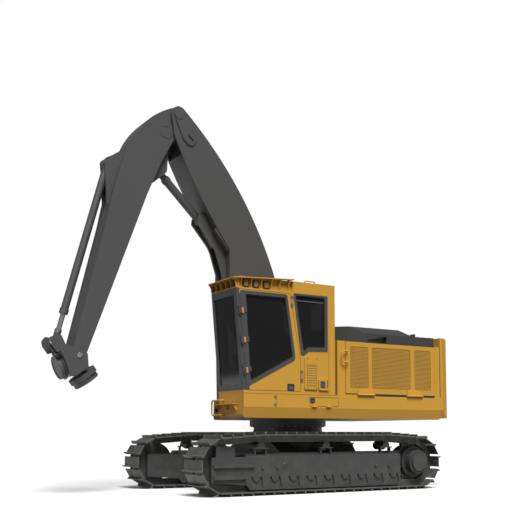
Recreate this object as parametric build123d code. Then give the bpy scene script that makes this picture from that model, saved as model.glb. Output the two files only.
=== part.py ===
from build123d import *
import os
from math import asin, atan2, cos, degrees, hypot, pi, radians, sin

# Tracked forestry harvester. Sizes are in millimetres. The machine faces +X, its left side is +Y
# and it stands on Z = 0. Everything is drawn about the swing axis and moved at the end.

# Tracks
track_gauge = 2750
shoe_width = 700
chain_pitch = 216
wrap_links = 12
run_links = 21
track_centre_x = 150
link_rise = 56
link_depth = 60
link_gap = 90
link_width = 60
shoe_thickness = 16
shoe_length = 206
grouser_height = 50
grouser_base = 30
grouser_tip = 20
top_run_lift = 62
slope_links = 4
seat_gap = 0.3

# Rollers, idlers and final drives
carrier_radius = 80
roller_radius = 74
roller_count = 9
roller_first_x = 1640
roller_pitch_x = 385
tread_width = 220
axle_radius = 32
guide_flange_gap = 5
guide_flange_height = 35
idler_shaft_radius = 55
sprocket_thickness = 70
sprocket_tooth_rise = 14
sprocket_clearance = 12
hub_radius = 230
hub_flange_radius = 300
hub_outer_y = 1690
hub_flange_y = 1500
hub_cover_radius = 175
hub_cover_rise = 35

# Track frames and carbody
frame_width = 410
frame_rear_x = -1610
frame_step_x = 1860
frame_front_x = 2530
frame_low_z = 337
frame_high_z = 670
frame_crown_z = 740
frame_crown_inset = 90
guard_low_z = 92
guard_thickness = 80
nose_low_z = 180
nose_thickness = 100
drive_plate_radius = 330
post_half_length = 140
post_plate_thickness = 20
post_plate_rise = 70
post_clearance = 7
housing_ribs = ((1700, 490, 545), (1860, 285, 355))
housing_rib_depth = 45
tension_box_x = (2080, 2450)
tension_box_rise = 190
pocket_depth = 25
pocket_half_top = 105
pocket_half_foot = 140
pocket_foot_rise = 30
boss_half_top = 80
boss_drop = 110
carbody_radius = 700
carbody_low_z = 560
carbody_top_z = 1130
leg_offset_x = 620
leg_width = 420
leg_end_low_z = 400
leg_end_high_z = 690

# Swing bearing
ring_radius = 690
ring_height = 92
turntable_radius = 768
turntable_top_z = 1360
swing_gap = 0.5

# Upper frame
deck_top_z = 1500
deck_half_width = 550
deck_front_x = 1400
body_half_width = 1550
body_inner_y = 600
body_rear_x = -2720
left_front_x = 1890
right_front_x = 880
ledge_z = 1790
crease_z = 1550
keel_inset = 50
keel_nose_radius = 70
body_gap = 0.3

# Boom foot and hoist cylinders
foot_x = 400
foot_z = 2050
foot_radius = 190
foot_pin_radius = 55
foot_half_width = 200
lug_gap = 6
lug_thickness = 60
hoist_base_x = 1300
hoist_base_z = 1640
hoist_top_x = 1360
hoist_top_z = 3950
hoist_y = 420
hoist_barrel_radius = 85
hoist_rod_radius = 50
hoist_pin_radius = 40
hoist_eye_half_width = 95

neck_reach = 35
neck_inset = 8
collar_length = 90
collar_rise = 10

# Boom
boom_half_width = 310
fork_thickness = 50
tip_x = 2630
tip_z = 7110
tip_radius = 160
tip_pin_radius = 60
mouth_radius = 225
doubler_thickness = 24

# Stick
stick_half_width = 250
wrist_x = 4450
wrist_z = 2440
wrist_radius = 120
wrist_pin_radius = 45

# Stick cylinder
stick_base_x = 2030
stick_base_z = 5185
stick_rod_x = 2890
stick_rod_z = 6020
stick_barrel_radius = 78
stick_rod_radius = 48
bracket_half_width = 145
bracket_thickness = 50

# Tool cylinder
tool_base_x = 3930
tool_base_z = 5980
tool_rod_x = 4800
tool_rod_z = 2690
tool_barrel_length = 2690
tool_barrel_radius = 70
tool_rod_radius = 45
tool_eye_half_width = 75
tool_lug_thickness = 50

# Yoke and rotator
yoke_plate_thickness = 40
yoke_clearance = 8
front_flange_x = 4668
front_flange_z = 2252
front_flange_slope = 22
front_flange_radius = 215
front_flange_thickness = 100
front_ring_radius = 240
front_ring_thickness = 30
rotator_face_x = 4320
rotator_face_z = 2135
rotator_radius = 265
rotator_thickness = 180
rotator_sides = 12
rotator_rim_thickness = 90
rotator_face_radius = 235
rotator_slope = 53
rotator_gap = 0.5
rotator_neck_radius = 130
rotator_neck_length = 110
bolt_circle = 400
bolt_count = 12
bolt_hole_radius = 13
bolt_hole_depth = 60

# Cab
cab_rear_x = -80
cab_low_front_x = 1890
cab_high_front_x = 2060
cab_head_z = 3660
cab_roof_z = 3880
cab_wall = 60
cab_floor = 60
glass_thickness = 8
glass_depth = 25
rear_glass_y = (750, 1400)
rear_glass_z = (2900, 3600)
door_gap = 8
trim_thickness = 12
front_frame_low_z = 1846
front_glass_y = (690, 1440)
front_glass_z = (1950, 3540)
pillar_depth = 62
door_rear_top_x = 925
door_rear_mid_x = 700
door_rear_mid_z = 2420
door_thickness = 55

# Hinges of the cab door, its axis parallel to the leaning front edge
door_hinge_y = 1580
door_hinge_inset = 30
door_hinge_heights = (2206, 2738, 3265)
door_hinge_pin_radius = 14
door_hinge_eye_radius = 24
door_hinge_eye_length = 90
door_leaf_length = 150
hinge_ear_gap = 6
hinge_ear_length = 20

# Visor with work lamps
visor_rear_x = 870
visor_low_z = 3662
visor_front_z = 3848
visor_rear_z = 3912
visor_plate = 18
visor_reach = 60
visor_inner_reach = 45
visor_rim_height = 20
visor_front_x = 2130
rib_thickness = 14
head_front_x = 1985
head_inset = 32
lamp_low_z = 3692
lamp_height = 135
lamp_depth = 42
lamp_rim = 12
front_lamp_y = (695, 885, 1075, 1265, 1455)
front_lamp_width = 115
side_lamp_x = (1855, 1650, 1430)
side_lamp_width = 140
side_rib_x = (1960, 1752, 1540, 1330, 1150, 960)
front_rib_y = (600, 790, 980, 1170, 1360, 1540)

# Cover plate and latch box behind the door, roof handle and front step
vent_x = (330, 620)
vent_z = (1890, 2486)
vent_thickness = 25
vent_pocket_x = (345, 577)
vent_pocket_z = (1940, 2350)
vent_pocket_depth = 8
latch_box_x = (90, 305)
latch_box_z = (1880, 2088)
latch_box_depth = 30
roof_handle_x = (330, 560)
handle_radius = 11
handle_rise = 45
roof_handle_y = 1480
step_y = (605, 1320)
step_reach = 110
step_z = 1600
step_rib_drop = 120
step_thickness = 12
rail_y = (470, 820)
rail_z = (1415, 1685)
rail_reach = 75
rail_bend = 45
rail_radius = 15

# Engine house, doors and counterweight
engine_front_x = -130
engine_rear_x = -2700
engine_top_z = 2840
engine_wall = 50
house_inset = 5
engine_post_rear_x = -318
engine_roof_half_width = 1488
engine_door_front_x = -330
engine_door_rear_x = -2570
engine_door_low_z = 1840
engine_door_high_z = 2828
engine_door_thickness = 50
grille_openings = ((-2467, -2033), (-1932, -958), (-875, -434))
grille_z = (1940, 2745)
grille_corner = 55
grille_depth = 18
slat_pitch = 50
slat_thickness = 14
slat_depth = 12
engine_block_size = (1500, 900, 800)
hood_edge_rise = 185
hood_peak_z = 3168
hood_half_width = 1500
hood_corner_x = -874
hood_corner_half_width = 850
hood_step_x = -2060
hood_rear_x = -2600
hood_crown_x = (-420, -1860)
hood_crown_half_width = 1270
hood_notch_x = (-1368, -900)
hood_notch_rise = (60, 145)
hood_notch_depth = 80
cap_x = -2240
cap_radius = 50
hood_cap_height = 78
weight_rear_x = -3050
weight_top_z = 3030
weight_low_z = 1390
weight_side_bevel = 110
weight_crease_z = 1560
weight_foot_inset = 60

# Compartment door in the left skirt
hatch_rear_x = -150
hatch_front_x = 490
hatch_low_z = 1585
hatch_high_z = 1740
hatch_thickness = 22
hatch_gap = 9

# Hinges under the compartment door and under the engine doors
hatch_hinge_y = 1567
hatch_hinge_drop = 12
hatch_hinge_eye_radius = 11
hatch_hinge_x = (80, 400)
hatch_hinge_length = 60
hatch_leaf_rise = 50
engine_hinge_y = 1572
engine_hinge_drop = 20
engine_hinge_eye_radius = 16
engine_hinge_x = (-800, -2020)
engine_hinge_length = 360
engine_leaf_rise = 90


def outline(*corners):
    """A closed outline of (a, b) or (a, b, radius) corners."""
    radii = [corner[2] if len(corner) == 3 else 0 for corner in corners]
    return make_face(FilletPolyline(*[corner[:2] for corner in corners], radius=radii, close=True))


def across(face, low_y, high_y):
    """An outline in X and Z, given its width in Y."""
    return extrude(Plane.XZ.offset(-low_y) * face, -(high_y - low_y))


def along(face, low_x, high_x):
    """An outline in Y and Z, given its length in X."""
    return extrude(Plane.YZ.offset(low_x) * face, high_x - low_x)


def upright(face, low_z, high_z):
    """An outline in X and Y, given its height in Z."""
    return extrude(Plane.XY.offset(low_z) * face, high_z - low_z)


def block(low_x, high_x, low_y, high_y, low_z, high_z):
    """A plain block between two corners."""
    size = (high_x - low_x, high_y - low_y, high_z - low_z)
    return Pos(low_x, low_y, low_z) * Box(*size, align=(Align.MIN, Align.MIN, Align.MIN))


def disc(x, z, radius, low_y, high_y):
    """A round piece whose axis lies along Y."""
    return across(Pos(x, z) * Circle(radius), low_y, high_y)


def both_sides(shape):
    """The shape and its mirror image on the right side of the machine."""
    return [shape, mirror(shape, about=Plane.XZ)]


def aimed(x, y, z, angle):
    """A plane in the side view at (x, y, z) whose axis points at an angle from +X towards +Z."""
    return Plane((x, y, z), x_dir=(0, 1, 0), z_dir=(cos(radians(angle)), 0, sin(radians(angle))))


# Track path: the chain pins in the side view, listed from the rear of the ground run
wheel_radius = chain_pitch / (2 * sin(pi / wrap_links))
wheel_flat = wheel_radius * cos(pi / wrap_links)
pin_z = grouser_height + shoe_thickness + link_rise
axle_z = pin_z + wheel_flat
axle_span = (run_links - 1) * chain_pitch
idler_x = track_centre_x + axle_span / 2
sprocket_x = track_centre_x - axle_span / 2
top_pin_z = axle_z + wheel_flat + top_run_lift


def wrap_pins(centre_x, first_angle):
    """Pins of the chain where it goes round an idler or sprocket, without the first and last."""
    step = 360 / wrap_links
    angles = [radians(first_angle + step * i) for i in range(1, wrap_links // 2 - 1)]
    return [(centre_x + wheel_radius * cos(a), axle_z + wheel_radius * sin(a)) for a in angles]


def divided(points, parts):
    """Points that divide an open chain of lines into equal lengths, ends included."""
    path = Polyline(*points)
    return [((path @ (i / parts)).X, (path @ (i / parts)).Y) for i in range(parts + 1)]


half_step = 180 / wrap_links
ground_run = [(sprocket_x + (i - 0.5) * chain_pitch, pin_z) for i in range(run_links + 1)]
top_start = (idler_x + chain_pitch / 2, axle_z + wheel_flat)
top_end = (sprocket_x - chain_pitch / 2, axle_z + wheel_flat)
slope_angle = asin(top_run_lift / (slope_links * chain_pitch))
slope_length = slope_links * chain_pitch * cos(slope_angle)
carrier_front = (top_start[0] - slope_length, top_pin_z)
carrier_rear = (top_end[0] + slope_length, top_pin_z)
carrier_x = (carrier_front[0], (carrier_front[0] + carrier_rear[0]) / 2, carrier_rear[0])
top_run = (divided([top_start, carrier_front], slope_links)
           + divided([carrier_front, carrier_rear], run_links - 2 * slope_links)[1:]
           + divided([carrier_rear, top_end], slope_links)[1:])
pins = ground_run + wrap_pins(idler_x, half_step - 90) + top_run + wrap_pins(sprocket_x, half_step + 90)


def chain_offset(distance):
    """The chain's outline moved outwards by a distance, as one closed outline."""
    corners = []
    for i, pin in enumerate(pins):
        before = pins[i - 1]
        after = pins[(i + 1) % len(pins)]
        way_in = atan2(pin[1] - before[1], pin[0] - before[0])
        way_out = atan2(after[1] - pin[1], after[0] - pin[0])
        turn = (way_out - way_in + pi) % (2 * pi) - pi
        middle = way_in + turn / 2 - pi / 2
        reach = distance / cos(turn / 2)
        corners.append((pin[0] + reach * cos(middle), pin[1] + reach * sin(middle)))
    return make_face(Polyline(*corners, close=True))


def track():
    """One closed track: two bands of links and a grouser shoe on each link."""
    centre_y = track_gauge / 2
    band_face = chain_offset(link_rise) - chain_offset(-link_depth)
    result = None
    for side in (-1, 1):
        near = centre_y + side * link_gap / 2
        far = near + side * link_width
        band = across(band_face, min(near, far), max(near, far))
        result = band if result is None else result + band
    half = shoe_length / 2
    crown = link_rise + shoe_thickness
    shoe_corners = [(-half, link_rise), (half, link_rise), (half, crown),
                    (grouser_base - half, crown), (grouser_tip - half, crown + grouser_height),
                    (-half, crown + grouser_height)]
    shoe_face = make_face(Polyline(*shoe_corners, close=True))
    shoes = []
    for i, pin in enumerate(pins):
        after = pins[(i + 1) % len(pins)]
        heading = degrees(atan2(after[1] - pin[1], after[0] - pin[0]))
        middle = ((pin[0] + after[0]) / 2, (pin[1] + after[1]) / 2)
        # The outline turns over so that the shoe lies outside the loop
        placed = Pos(*middle) * Rot(0, 0, heading) * mirror(shoe_face, about=Plane.XZ)
        shoes.append(across(placed, centre_y - shoe_width / 2, centre_y + shoe_width / 2))
    return result.fuse(*shoes)


def guard_pocket(x):
    """A pocket of the roller guard round the boss that carries a roller's axle."""
    foot = guard_low_z + pocket_foot_rise
    pocket = outline((x - pocket_half_foot, foot, 25), (x - pocket_half_top, frame_low_z - 15, 15),
                     (x + pocket_half_top, frame_low_z - 15, 15), (x + pocket_half_foot, foot, 25))
    boss = outline((x - boss_half_top, frame_low_z), (x - boss_half_top + 20, frame_low_z - 70, 25),
                   (x, frame_low_z - boss_drop, 25), (x + boss_half_top - 20, frame_low_z - 70, 25),
                   (x + boss_half_top, frame_low_z))
    return pocket - boss


def track_frame():
    """One track frame: box beam, roller guards, idler nose, drive plate and roller posts."""
    centre_y = track_gauge / 2
    inner_y = centre_y - frame_width / 2
    outer_y = centre_y + frame_width / 2
    crown = outline((inner_y, frame_low_z), (outer_y, frame_low_z), (outer_y, frame_high_z),
                    (outer_y - frame_crown_inset, frame_crown_z), (inner_y, frame_crown_z))
    frame = along(crown, frame_rear_x, frame_step_x)
    guard = outline((frame_rear_x, frame_low_z), (frame_rear_x, guard_low_z + 20), (frame_rear_x + 30, guard_low_z),
                    (frame_step_x - 90, guard_low_z), (frame_step_x, guard_low_z + 110),
                    (frame_step_x, frame_low_z))
    nose = outline((frame_step_x, nose_low_z), (frame_front_x, nose_low_z + 60), (frame_front_x, frame_high_z),
                   (frame_step_x, frame_high_z))
    for low, thick in ((inner_y, guard_thickness), (outer_y - guard_thickness, guard_thickness)):
        frame += across(guard, low, low + thick)
    for i in range(roller_count):
        frame -= across(guard_pocket(roller_first_x - i * roller_pitch_x), outer_y - pocket_depth, outer_y)
    for low in (inner_y, outer_y - nose_thickness):
        frame += across(nose, low, low + nose_thickness)
    for rear, low, high in housing_ribs:
        rib = outline((outer_y, low - 20), (outer_y + housing_rib_depth, low), (outer_y + housing_rib_depth, high),
                      (outer_y, high))
        frame += along(rib, rear, frame_front_x - 30)
    frame += block(*tension_box_x, outer_y - 90, outer_y, frame_high_z, frame_high_z + tension_box_rise)
    drive = Pos(sprocket_x, axle_z) * Circle(drive_plate_radius)
    neck = outline((sprocket_x, frame_low_z - 60), (frame_rear_x, frame_low_z), (frame_rear_x, frame_high_z),
                   (sprocket_x, axle_z + drive_plate_radius))
    frame += across(drive, inner_y, inner_y + guard_thickness)
    frame += across(neck, inner_y, inner_y + guard_thickness)
    for x in carrier_x:
        plate_z = frame_crown_z + post_plate_rise
        post_y = centre_y + tread_width / 2 + post_clearance
        for end in (-1, 1):
            leg_x = x + end * (post_half_length - 30)
            frame += block(leg_x - 12, leg_x + 12, post_y, outer_y - 10, frame_high_z, plate_z)
        frame += block(x - post_half_length, x + post_half_length, post_y, outer_y + 20,
                       plate_z, plate_z + post_plate_thickness)
    # The sprocket turns in a slot between the beam's side walls
    slot_half = sprocket_thickness / 2 + sprocket_clearance
    slot_radius = wheel_radius + sprocket_tooth_rise + sprocket_clearance
    frame -= disc(sprocket_x, axle_z, slot_radius, centre_y - slot_half, centre_y + slot_half)
    return frame.fuse(*carrier_rollers(), *track_rollers())


def spool(x, z, radius, width, flange_rise):
    """A double wheel that carries both bands of links, with a guide flange between them."""
    centre_y = track_gauge / 2
    flange_half = link_gap / 2 - guide_flange_gap
    wheel = disc(x, z, radius, centre_y - width / 2, centre_y + width / 2)
    wheel += disc(x, z, radius + flange_rise, centre_y - flange_half, centre_y + flange_half)
    return wheel


def idler():
    """One idler wheel with its shaft."""
    centre_y = track_gauge / 2
    inner = centre_y - frame_width / 2 + nose_thickness
    outer = centre_y + frame_width / 2 - nose_thickness
    wheel = spool(idler_x, axle_z, wheel_flat - link_depth - seat_gap, tread_width - 20, guide_flange_height)
    return wheel + disc(idler_x, axle_z, idler_shaft_radius, inner, outer)


def final_drive():
    """One sprocket with its hub, flange and cover."""
    centre_y = track_gauge / 2
    inner = centre_y - frame_width / 2 + guard_thickness
    tip = wheel_radius + sprocket_tooth_rise
    sprocket = Pos(sprocket_x, axle_z) * Circle(wheel_radius - 50)
    for i in range(wrap_links):
        angle = i * 360 / wrap_links
        tooth = outline((wheel_radius - 80, -60), (tip, -22), (tip, 22), (wheel_radius - 80, 60))
        sprocket += Pos(sprocket_x, axle_z) * Rot(0, 0, angle) * tooth
    drive = across(sprocket, centre_y - sprocket_thickness / 2, centre_y + sprocket_thickness / 2)
    drive += disc(sprocket_x, axle_z, hub_flange_radius, inner, hub_flange_y)
    drive += disc(sprocket_x, axle_z, hub_radius, hub_flange_y, hub_outer_y - hub_cover_rise)
    return drive + disc(sprocket_x, axle_z, hub_cover_radius, hub_flange_y, hub_outer_y)


def carrier_rollers():
    """The three carrier rollers of one side, each with its arched support."""
    centre_y = track_gauge / 2
    outer_y = centre_y + frame_width / 2
    roller_z = top_pin_z - (link_depth + carrier_radius + seat_gap) / cos(slope_angle)
    base_z = frame_crown_z + post_plate_rise + post_plate_thickness
    post_y = centre_y + tread_width / 2
    rollers = []
    for x in carrier_x:
        roller = disc(x, roller_z, carrier_radius, centre_y - tread_width / 2, centre_y + tread_width / 2)
        arch = make_face([Polyline((x - carrier_radius, roller_z), (x - carrier_radius, base_z),
                                   (x + carrier_radius, base_z), (x + carrier_radius, roller_z)),
                          ThreePointArc((x + carrier_radius, roller_z), (x, roller_z + carrier_radius),
                                        (x - carrier_radius, roller_z))])
        rollers.append(roller + across(arch, post_y, outer_y + 10))
    return rollers


def track_rollers():
    """The track rollers of one side between their guards."""
    centre_y = track_gauge / 2
    roller_z = pin_z + link_depth + roller_radius + seat_gap
    half = frame_width / 2 - guard_thickness
    rollers = []
    for i in range(roller_count):
        x = roller_first_x - i * roller_pitch_x
        roller = disc(x, roller_z, roller_radius, centre_y - tread_width / 2, centre_y + tread_width / 2)
        rollers.append(roller + disc(x, roller_z, axle_radius, centre_y - half, centre_y + half))
    return rollers


def carbody():
    """The carbody: a drum under the swing bearing with two beams out to the track frames."""
    inner_y = track_gauge / 2 - frame_width / 2
    drum = Pos(0, 0, carbody_low_z) * Cylinder(carbody_radius, carbody_top_z - carbody_low_z,
                                               align=(Align.CENTER, Align.CENTER, Align.MIN))
    beam = outline((-inner_y, leg_end_low_z), (-inner_y + 150, leg_end_low_z), (-400, carbody_low_z),
                   (400, carbody_low_z), (inner_y - 150, leg_end_low_z), (inner_y, leg_end_low_z),
                   (inner_y, leg_end_high_z), (500, carbody_top_z - 130), (-500, carbody_top_z - 130),
                   (-inner_y, leg_end_high_z))
    for x in (-leg_offset_x, leg_offset_x):
        drum += along(beam, x - leg_width / 2, x + leg_width / 2)
    return drum


def swing_bearing():
    """The fixed ring of the swing bearing, with the inner race that centres the turntable."""
    ring = Pos(0, 0, carbody_top_z) * Cylinder(ring_radius, ring_height,
                                               align=(Align.CENTER, Align.CENTER, Align.MIN))
    race = Pos(0, 0, carbody_top_z + ring_height) * Cylinder(ring_radius - 120, 50,
                                                             align=(Align.CENTER, Align.CENTER, Align.MIN))
    return ring + race


def turntable():
    """The turning ring of the swing bearing, bolted under the deck."""
    low = carbody_top_z + ring_height + swing_gap
    ring = Pos(0, 0, low) * Cylinder(turntable_radius, turntable_top_z - low,
                                     align=(Align.CENTER, Align.CENTER, Align.MIN))
    race = Pos(0, 0, low) * Cylinder(ring_radius - 120 + seat_gap, 50 + swing_gap,
                                     align=(Align.CENTER, Align.CENTER, Align.MIN))
    return ring - race


def upper_deck():
    """The main frame: deck plate, boom foot lugs and hoist cylinder lugs."""
    deck = block(body_rear_x, deck_front_x, -deck_half_width, deck_half_width, turntable_top_z, deck_top_z)
    lug = outline((foot_x - 420, deck_top_z), (foot_x - foot_radius, foot_z - 40), (foot_x - 110, foot_z + 160, 90),
                  (foot_x + 110, foot_z + 160, 90), (foot_x + foot_radius, foot_z - 40), (foot_x + 420, deck_top_z))
    near = foot_half_width + lug_gap
    for low in (near, -near - lug_thickness):
        deck += across(lug, low, low + lug_thickness)
    deck += disc(foot_x, foot_z, foot_pin_radius, -near - lug_thickness, near + lug_thickness)
    foot_lug = outline((hoist_base_x - 90, deck_top_z), (hoist_base_x - 60, hoist_base_z + 60, 40),
                       (hoist_base_x + 60, hoist_base_z + 60, 40), (hoist_base_x + 90, deck_top_z))
    eye_near = hoist_eye_half_width + lug_gap
    for side in (-1, 1):
        centre = side * hoist_y
        for low in (centre - eye_near - 24, centre + eye_near):
            deck += across(foot_lug, low, low + 24)
        deck += disc(hoist_base_x, hoist_base_z, hoist_pin_radius, centre - eye_near - 24, centre + eye_near + 24)
    return deck


def side_skirt(front_x):
    """A side box of the upper frame with its crease, as on the left."""
    section = outline((deck_half_width + body_gap, turntable_top_z), (body_half_width - keel_inset, turntable_top_z),
                      (body_half_width, crease_z), (body_half_width, ledge_z), (deck_half_width + body_gap, ledge_z))
    return along(section, body_rear_x, front_x)


def left_skirt():
    """The left side box under the cab, with the recess for its compartment door."""
    skirt = side_skirt(left_front_x)
    nose = outline((body_rear_x, turntable_top_z), (left_front_x, turntable_top_z, keel_nose_radius),
                   (left_front_x, ledge_z), (body_rear_x, ledge_z))
    skirt &= across(nose, deck_half_width, body_half_width + 1)
    skirt -= block(deck_front_x, left_front_x, deck_half_width, body_inner_y, turntable_top_z, ledge_z)
    recess = block(hatch_rear_x - hatch_gap, hatch_front_x + hatch_gap, body_half_width - hatch_thickness - hatch_gap,
                   body_half_width, hatch_low_z - hatch_gap, hatch_high_z + hatch_gap)
    skirt -= recess
    for ears, leaf in hatch_hinges():
        skirt += ears
    return skirt


def hatch():
    """The compartment door in the left skirt, hinged at its lower edge."""
    panel = block(hatch_rear_x, hatch_front_x, body_half_width - hatch_thickness, body_half_width,
                  hatch_low_z, hatch_high_z)
    for ears, leaf in hatch_hinges():
        panel += leaf
    return panel


def flap_hinge(axis_y, axis_z, face_y, leaf_y, leaf_z, centre_x, length, eye_radius):
    """The fixed ears with their pin, and the turning eye with its leaf, of a flap hinged at its foot."""
    pin_radius = eye_radius / 2
    low = centre_x - length / 2
    ear = Pos(axis_y, axis_z) * Circle(eye_radius)
    ear += outline((face_y, axis_z - eye_radius), (axis_y, axis_z - eye_radius), (axis_y, axis_z), (face_y, axis_z))
    outer = hinge_ear_gap + hinge_ear_length
    fixed = along(Pos(axis_y, axis_z) * Circle(pin_radius), low - outer, low + length + outer)
    for start in (low - outer, low + length + hinge_ear_gap):
        fixed += along(ear, start, start + hinge_ear_length)
    inner_y = axis_y - eye_radius
    leaf = outline((inner_y, axis_z), (inner_y, leaf_z[0]), (leaf_y, leaf_z[0]), (leaf_y, leaf_z[1]),
                   (inner_y + eye_radius / 2, leaf_z[1]), (axis_y, axis_z))
    eye = Pos(axis_y, axis_z) * Circle(eye_radius) + leaf
    return fixed, along(eye - Pos(axis_y, axis_z) * Circle(pin_radius + seat_gap), low, low + length)


def hatch_hinges():
    """The two hinges under the compartment door."""
    leaf_z = (hatch_low_z + 6, hatch_low_z + hatch_leaf_rise)
    return [flap_hinge(hatch_hinge_y, hatch_low_z - hatch_hinge_drop, body_half_width, body_half_width, leaf_z, x,
                       hatch_hinge_length, hatch_hinge_eye_radius) for x in hatch_hinge_x]


def engine_hinges():
    """The two hinges under the left engine door."""
    leaf_z = (engine_door_low_z + 8, engine_door_low_z + engine_leaf_rise)
    return [flap_hinge(engine_hinge_y, engine_door_low_z - engine_hinge_drop, body_half_width - house_inset,
                       body_half_width, leaf_z, x, engine_hinge_length, engine_hinge_eye_radius)
            for x in engine_hinge_x]


# Boom outlines
back_start = (tip_x - 110, tip_z + 115)
back_middle = (1350, 5860)
back_end = (520, 4230)
foot_back = (foot_x - foot_radius, foot_z)
foot_front = (foot_x + foot_radius, foot_z)
knee_low = (1510, 3900)
knee_high = (1520, 4630)
front_middle = (2110, 5520)
front_top = (2720, 6700)
tip_front = (tip_x + tip_radius, tip_z)


def boom_outline():
    """The boom seen from the side, from the tip down its back and up its front."""
    edges = [ThreePointArc(back_start, back_middle, back_end),
             ThreePointArc(back_end, (270, 3250), foot_back),
             ThreePointArc(foot_back, (foot_x, foot_z - foot_radius), foot_front),
             Polyline(foot_front, (1010, 2850), knee_low, knee_high),
             ThreePointArc(knee_high, front_middle, front_top),
             Line(front_top, tip_front),
             ThreePointArc(tip_front, (tip_x, tip_z + tip_radius), back_start)]
    return make_face(edges)


def bracket_outline():
    """One plate of the stick cylinder's bracket, which tapers down along the boom's underside."""
    return outline((stick_base_x - 130, stick_base_z - 30), (stick_base_x - 60, stick_base_z + 100, 60),
                   (stick_base_x + 90, stick_base_z + 110, 90), (stick_base_x + 110, stick_base_z - 60, 60),
                   (1760, 4680, 600), (1590, 4150, 300), (1580, 3650), (1480, 3650), (1480, 4600),
                   (1700, 4930))


def boom():
    """The boom: a box beam that ends in a fork for the stick, with its brackets and pins."""
    face = boom_outline()
    body = across(face, -boom_half_width, boom_half_width)
    inner = boom_half_width - fork_thickness
    mouth = outline((tip_x - mouth_radius, tip_z + 400), (tip_x - mouth_radius, tip_z - 60),
                    (tip_x - 150, tip_z - 520, 60), (tip_x - 20, tip_z - 900), (tip_x + 500, tip_z - 900),
                    (tip_x + 500, tip_z + 400))
    body -= across(mouth, -inner, inner)
    slot = block(foot_x - 400, foot_x + 260, foot_half_width, boom_half_width, foot_z - 300, foot_z + 420)
    for piece in both_sides(slot):
        body -= piece
    body -= disc(foot_x, foot_z, foot_pin_radius + seat_gap, -boom_half_width, boom_half_width)
    body += disc(tip_x, tip_z, tip_pin_radius, -boom_half_width, boom_half_width)
    pair = bracket_half_width - bracket_thickness
    for low in (pair, -bracket_half_width):
        body += across(bracket_outline(), low, low + bracket_thickness)
    body += disc(stick_base_x, stick_base_z, hoist_pin_radius, -bracket_half_width, bracket_half_width)
    doubler = outline((2760, 7150, 90), (2690, 7268, 60), (2600, 7262, 60), (2500, 7080, 80), (2430, 6800, 60),
                      (2255, 6700, 45), (2330, 6550, 60), (2430, 6550, 50), (2540, 6640, 60))
    slot = outline((2425, 6745, 22), (2325, 6655, 22), (2355, 6622, 22), (2455, 6712, 22))
    for low in (boom_half_width, -boom_half_width - doubler_thickness):
        body += across(doubler - slot, low, low + doubler_thickness)
    body += disc(tip_x, tip_z, tip_pin_radius + 30, -boom_half_width - doubler_thickness - 8,
                 boom_half_width + doubler_thickness + 8)
    body -= across(mouth, -inner, inner)
    body += disc(tip_x, tip_z, tip_pin_radius, -inner, inner)
    web = outline((2000, 5060), (1960, 5090), (1700, 4720), (1740, 4690))
    body += across(web, -pair, pair)
    foot_plate = outline((1525, 4600), (1840, 5000), (1800, 5030), (1500, 4640))
    body += across(foot_plate, -boom_half_width + 20, -bracket_half_width)
    body += across(foot_plate, bracket_half_width, boom_half_width - 20)
    boss_end = hoist_y - hoist_eye_half_width - lug_gap
    body += disc(hoist_top_x, hoist_top_z, 95, -boss_end, boss_end)
    return body


def stick():
    """The stick: a tapered box beam with the brackets of both cylinders."""
    edges = [ThreePointArc((tip_x + 60, tip_z + 148), (3220, 6930), (3620, 6330)),
             ThreePointArc((3620, 6330), (3860, 5560), (4000, 4900)),
             Line((4000, 4900), (wrist_x + 115, wrist_z + 60)),
             ThreePointArc((wrist_x + 115, wrist_z + 60), (wrist_x + 10, wrist_z - wrist_radius),
                           (wrist_x - 110, wrist_z - 45)),
             Line((wrist_x - 110, wrist_z - 45), (3230, 5480)),
             ThreePointArc((3230, 5480), (3140, 5700), (2950, 6160)),
             Line((2950, 6160), (2690, 6650)),
             Line((2690, 6650), (tip_x - 150, tip_z - 50)),
             ThreePointArc((tip_x - 150, tip_z - 50), (tip_x - 100, tip_z + 125), (tip_x + 60, tip_z + 148))]
    body = across(make_face(edges), -stick_half_width, stick_half_width)
    body -= disc(tip_x, tip_z, tip_pin_radius + seat_gap, -stick_half_width, stick_half_width)
    rear = outline((2770, 6520), (2790, 6010, 120), (2930, 5880, 60), (3300, 5560), (3300, 6300))
    pair = bracket_half_width - bracket_thickness
    for low in (pair, -bracket_half_width):
        body += across(rear, low, low + bracket_thickness)
    front = outline((3560, 6380), (3880, 6150, 40), (tool_base_x + 95, tool_base_z + 90, 70),
                    (tool_base_x + 75, tool_base_z - 90, 60), (3960, 5200), (3700, 5600))
    near = tool_eye_half_width + lug_gap
    for low in (near, -near - tool_lug_thickness):
        body += across(front, low, low + tool_lug_thickness)
    body += disc(tool_base_x, tool_base_z, hoist_pin_radius, -near - tool_lug_thickness, near + tool_lug_thickness)
    boss = outline((2740, 6860, 80), (2720, 6700, 60), (2830, 6625, 50), (2960, 6645, 50), (3005, 6760, 60),
                   (2990, 6930, 60), (2860, 6990, 80))
    boss -= Pos(2880, 6800) * Circle(62)
    clear = boom_half_width - fork_thickness - stick_half_width
    for low in (stick_half_width, -stick_half_width - clear + lug_gap - 2):
        body += across(boss, low, low + clear - lug_gap + 2)
    body += disc(wrist_x, wrist_z, wrist_pin_radius, -yoke_outer_y, yoke_outer_y)
    body += disc(wrist_x, wrist_z, wrist_pin_radius + 35, -stick_half_width - 3, stick_half_width + 3)
    return body


yoke_inner_y = stick_half_width + yoke_clearance
yoke_outer_y = yoke_inner_y + yoke_plate_thickness
rotator_axis = -180 + rotator_slope


def web_edge(distance):
    """A point on the front edge of the yoke's web, measured along it from the flange's centre."""
    slope = radians(front_flange_slope)
    return (front_flange_x + distance * sin(slope), front_flange_z + distance * cos(slope))


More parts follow.
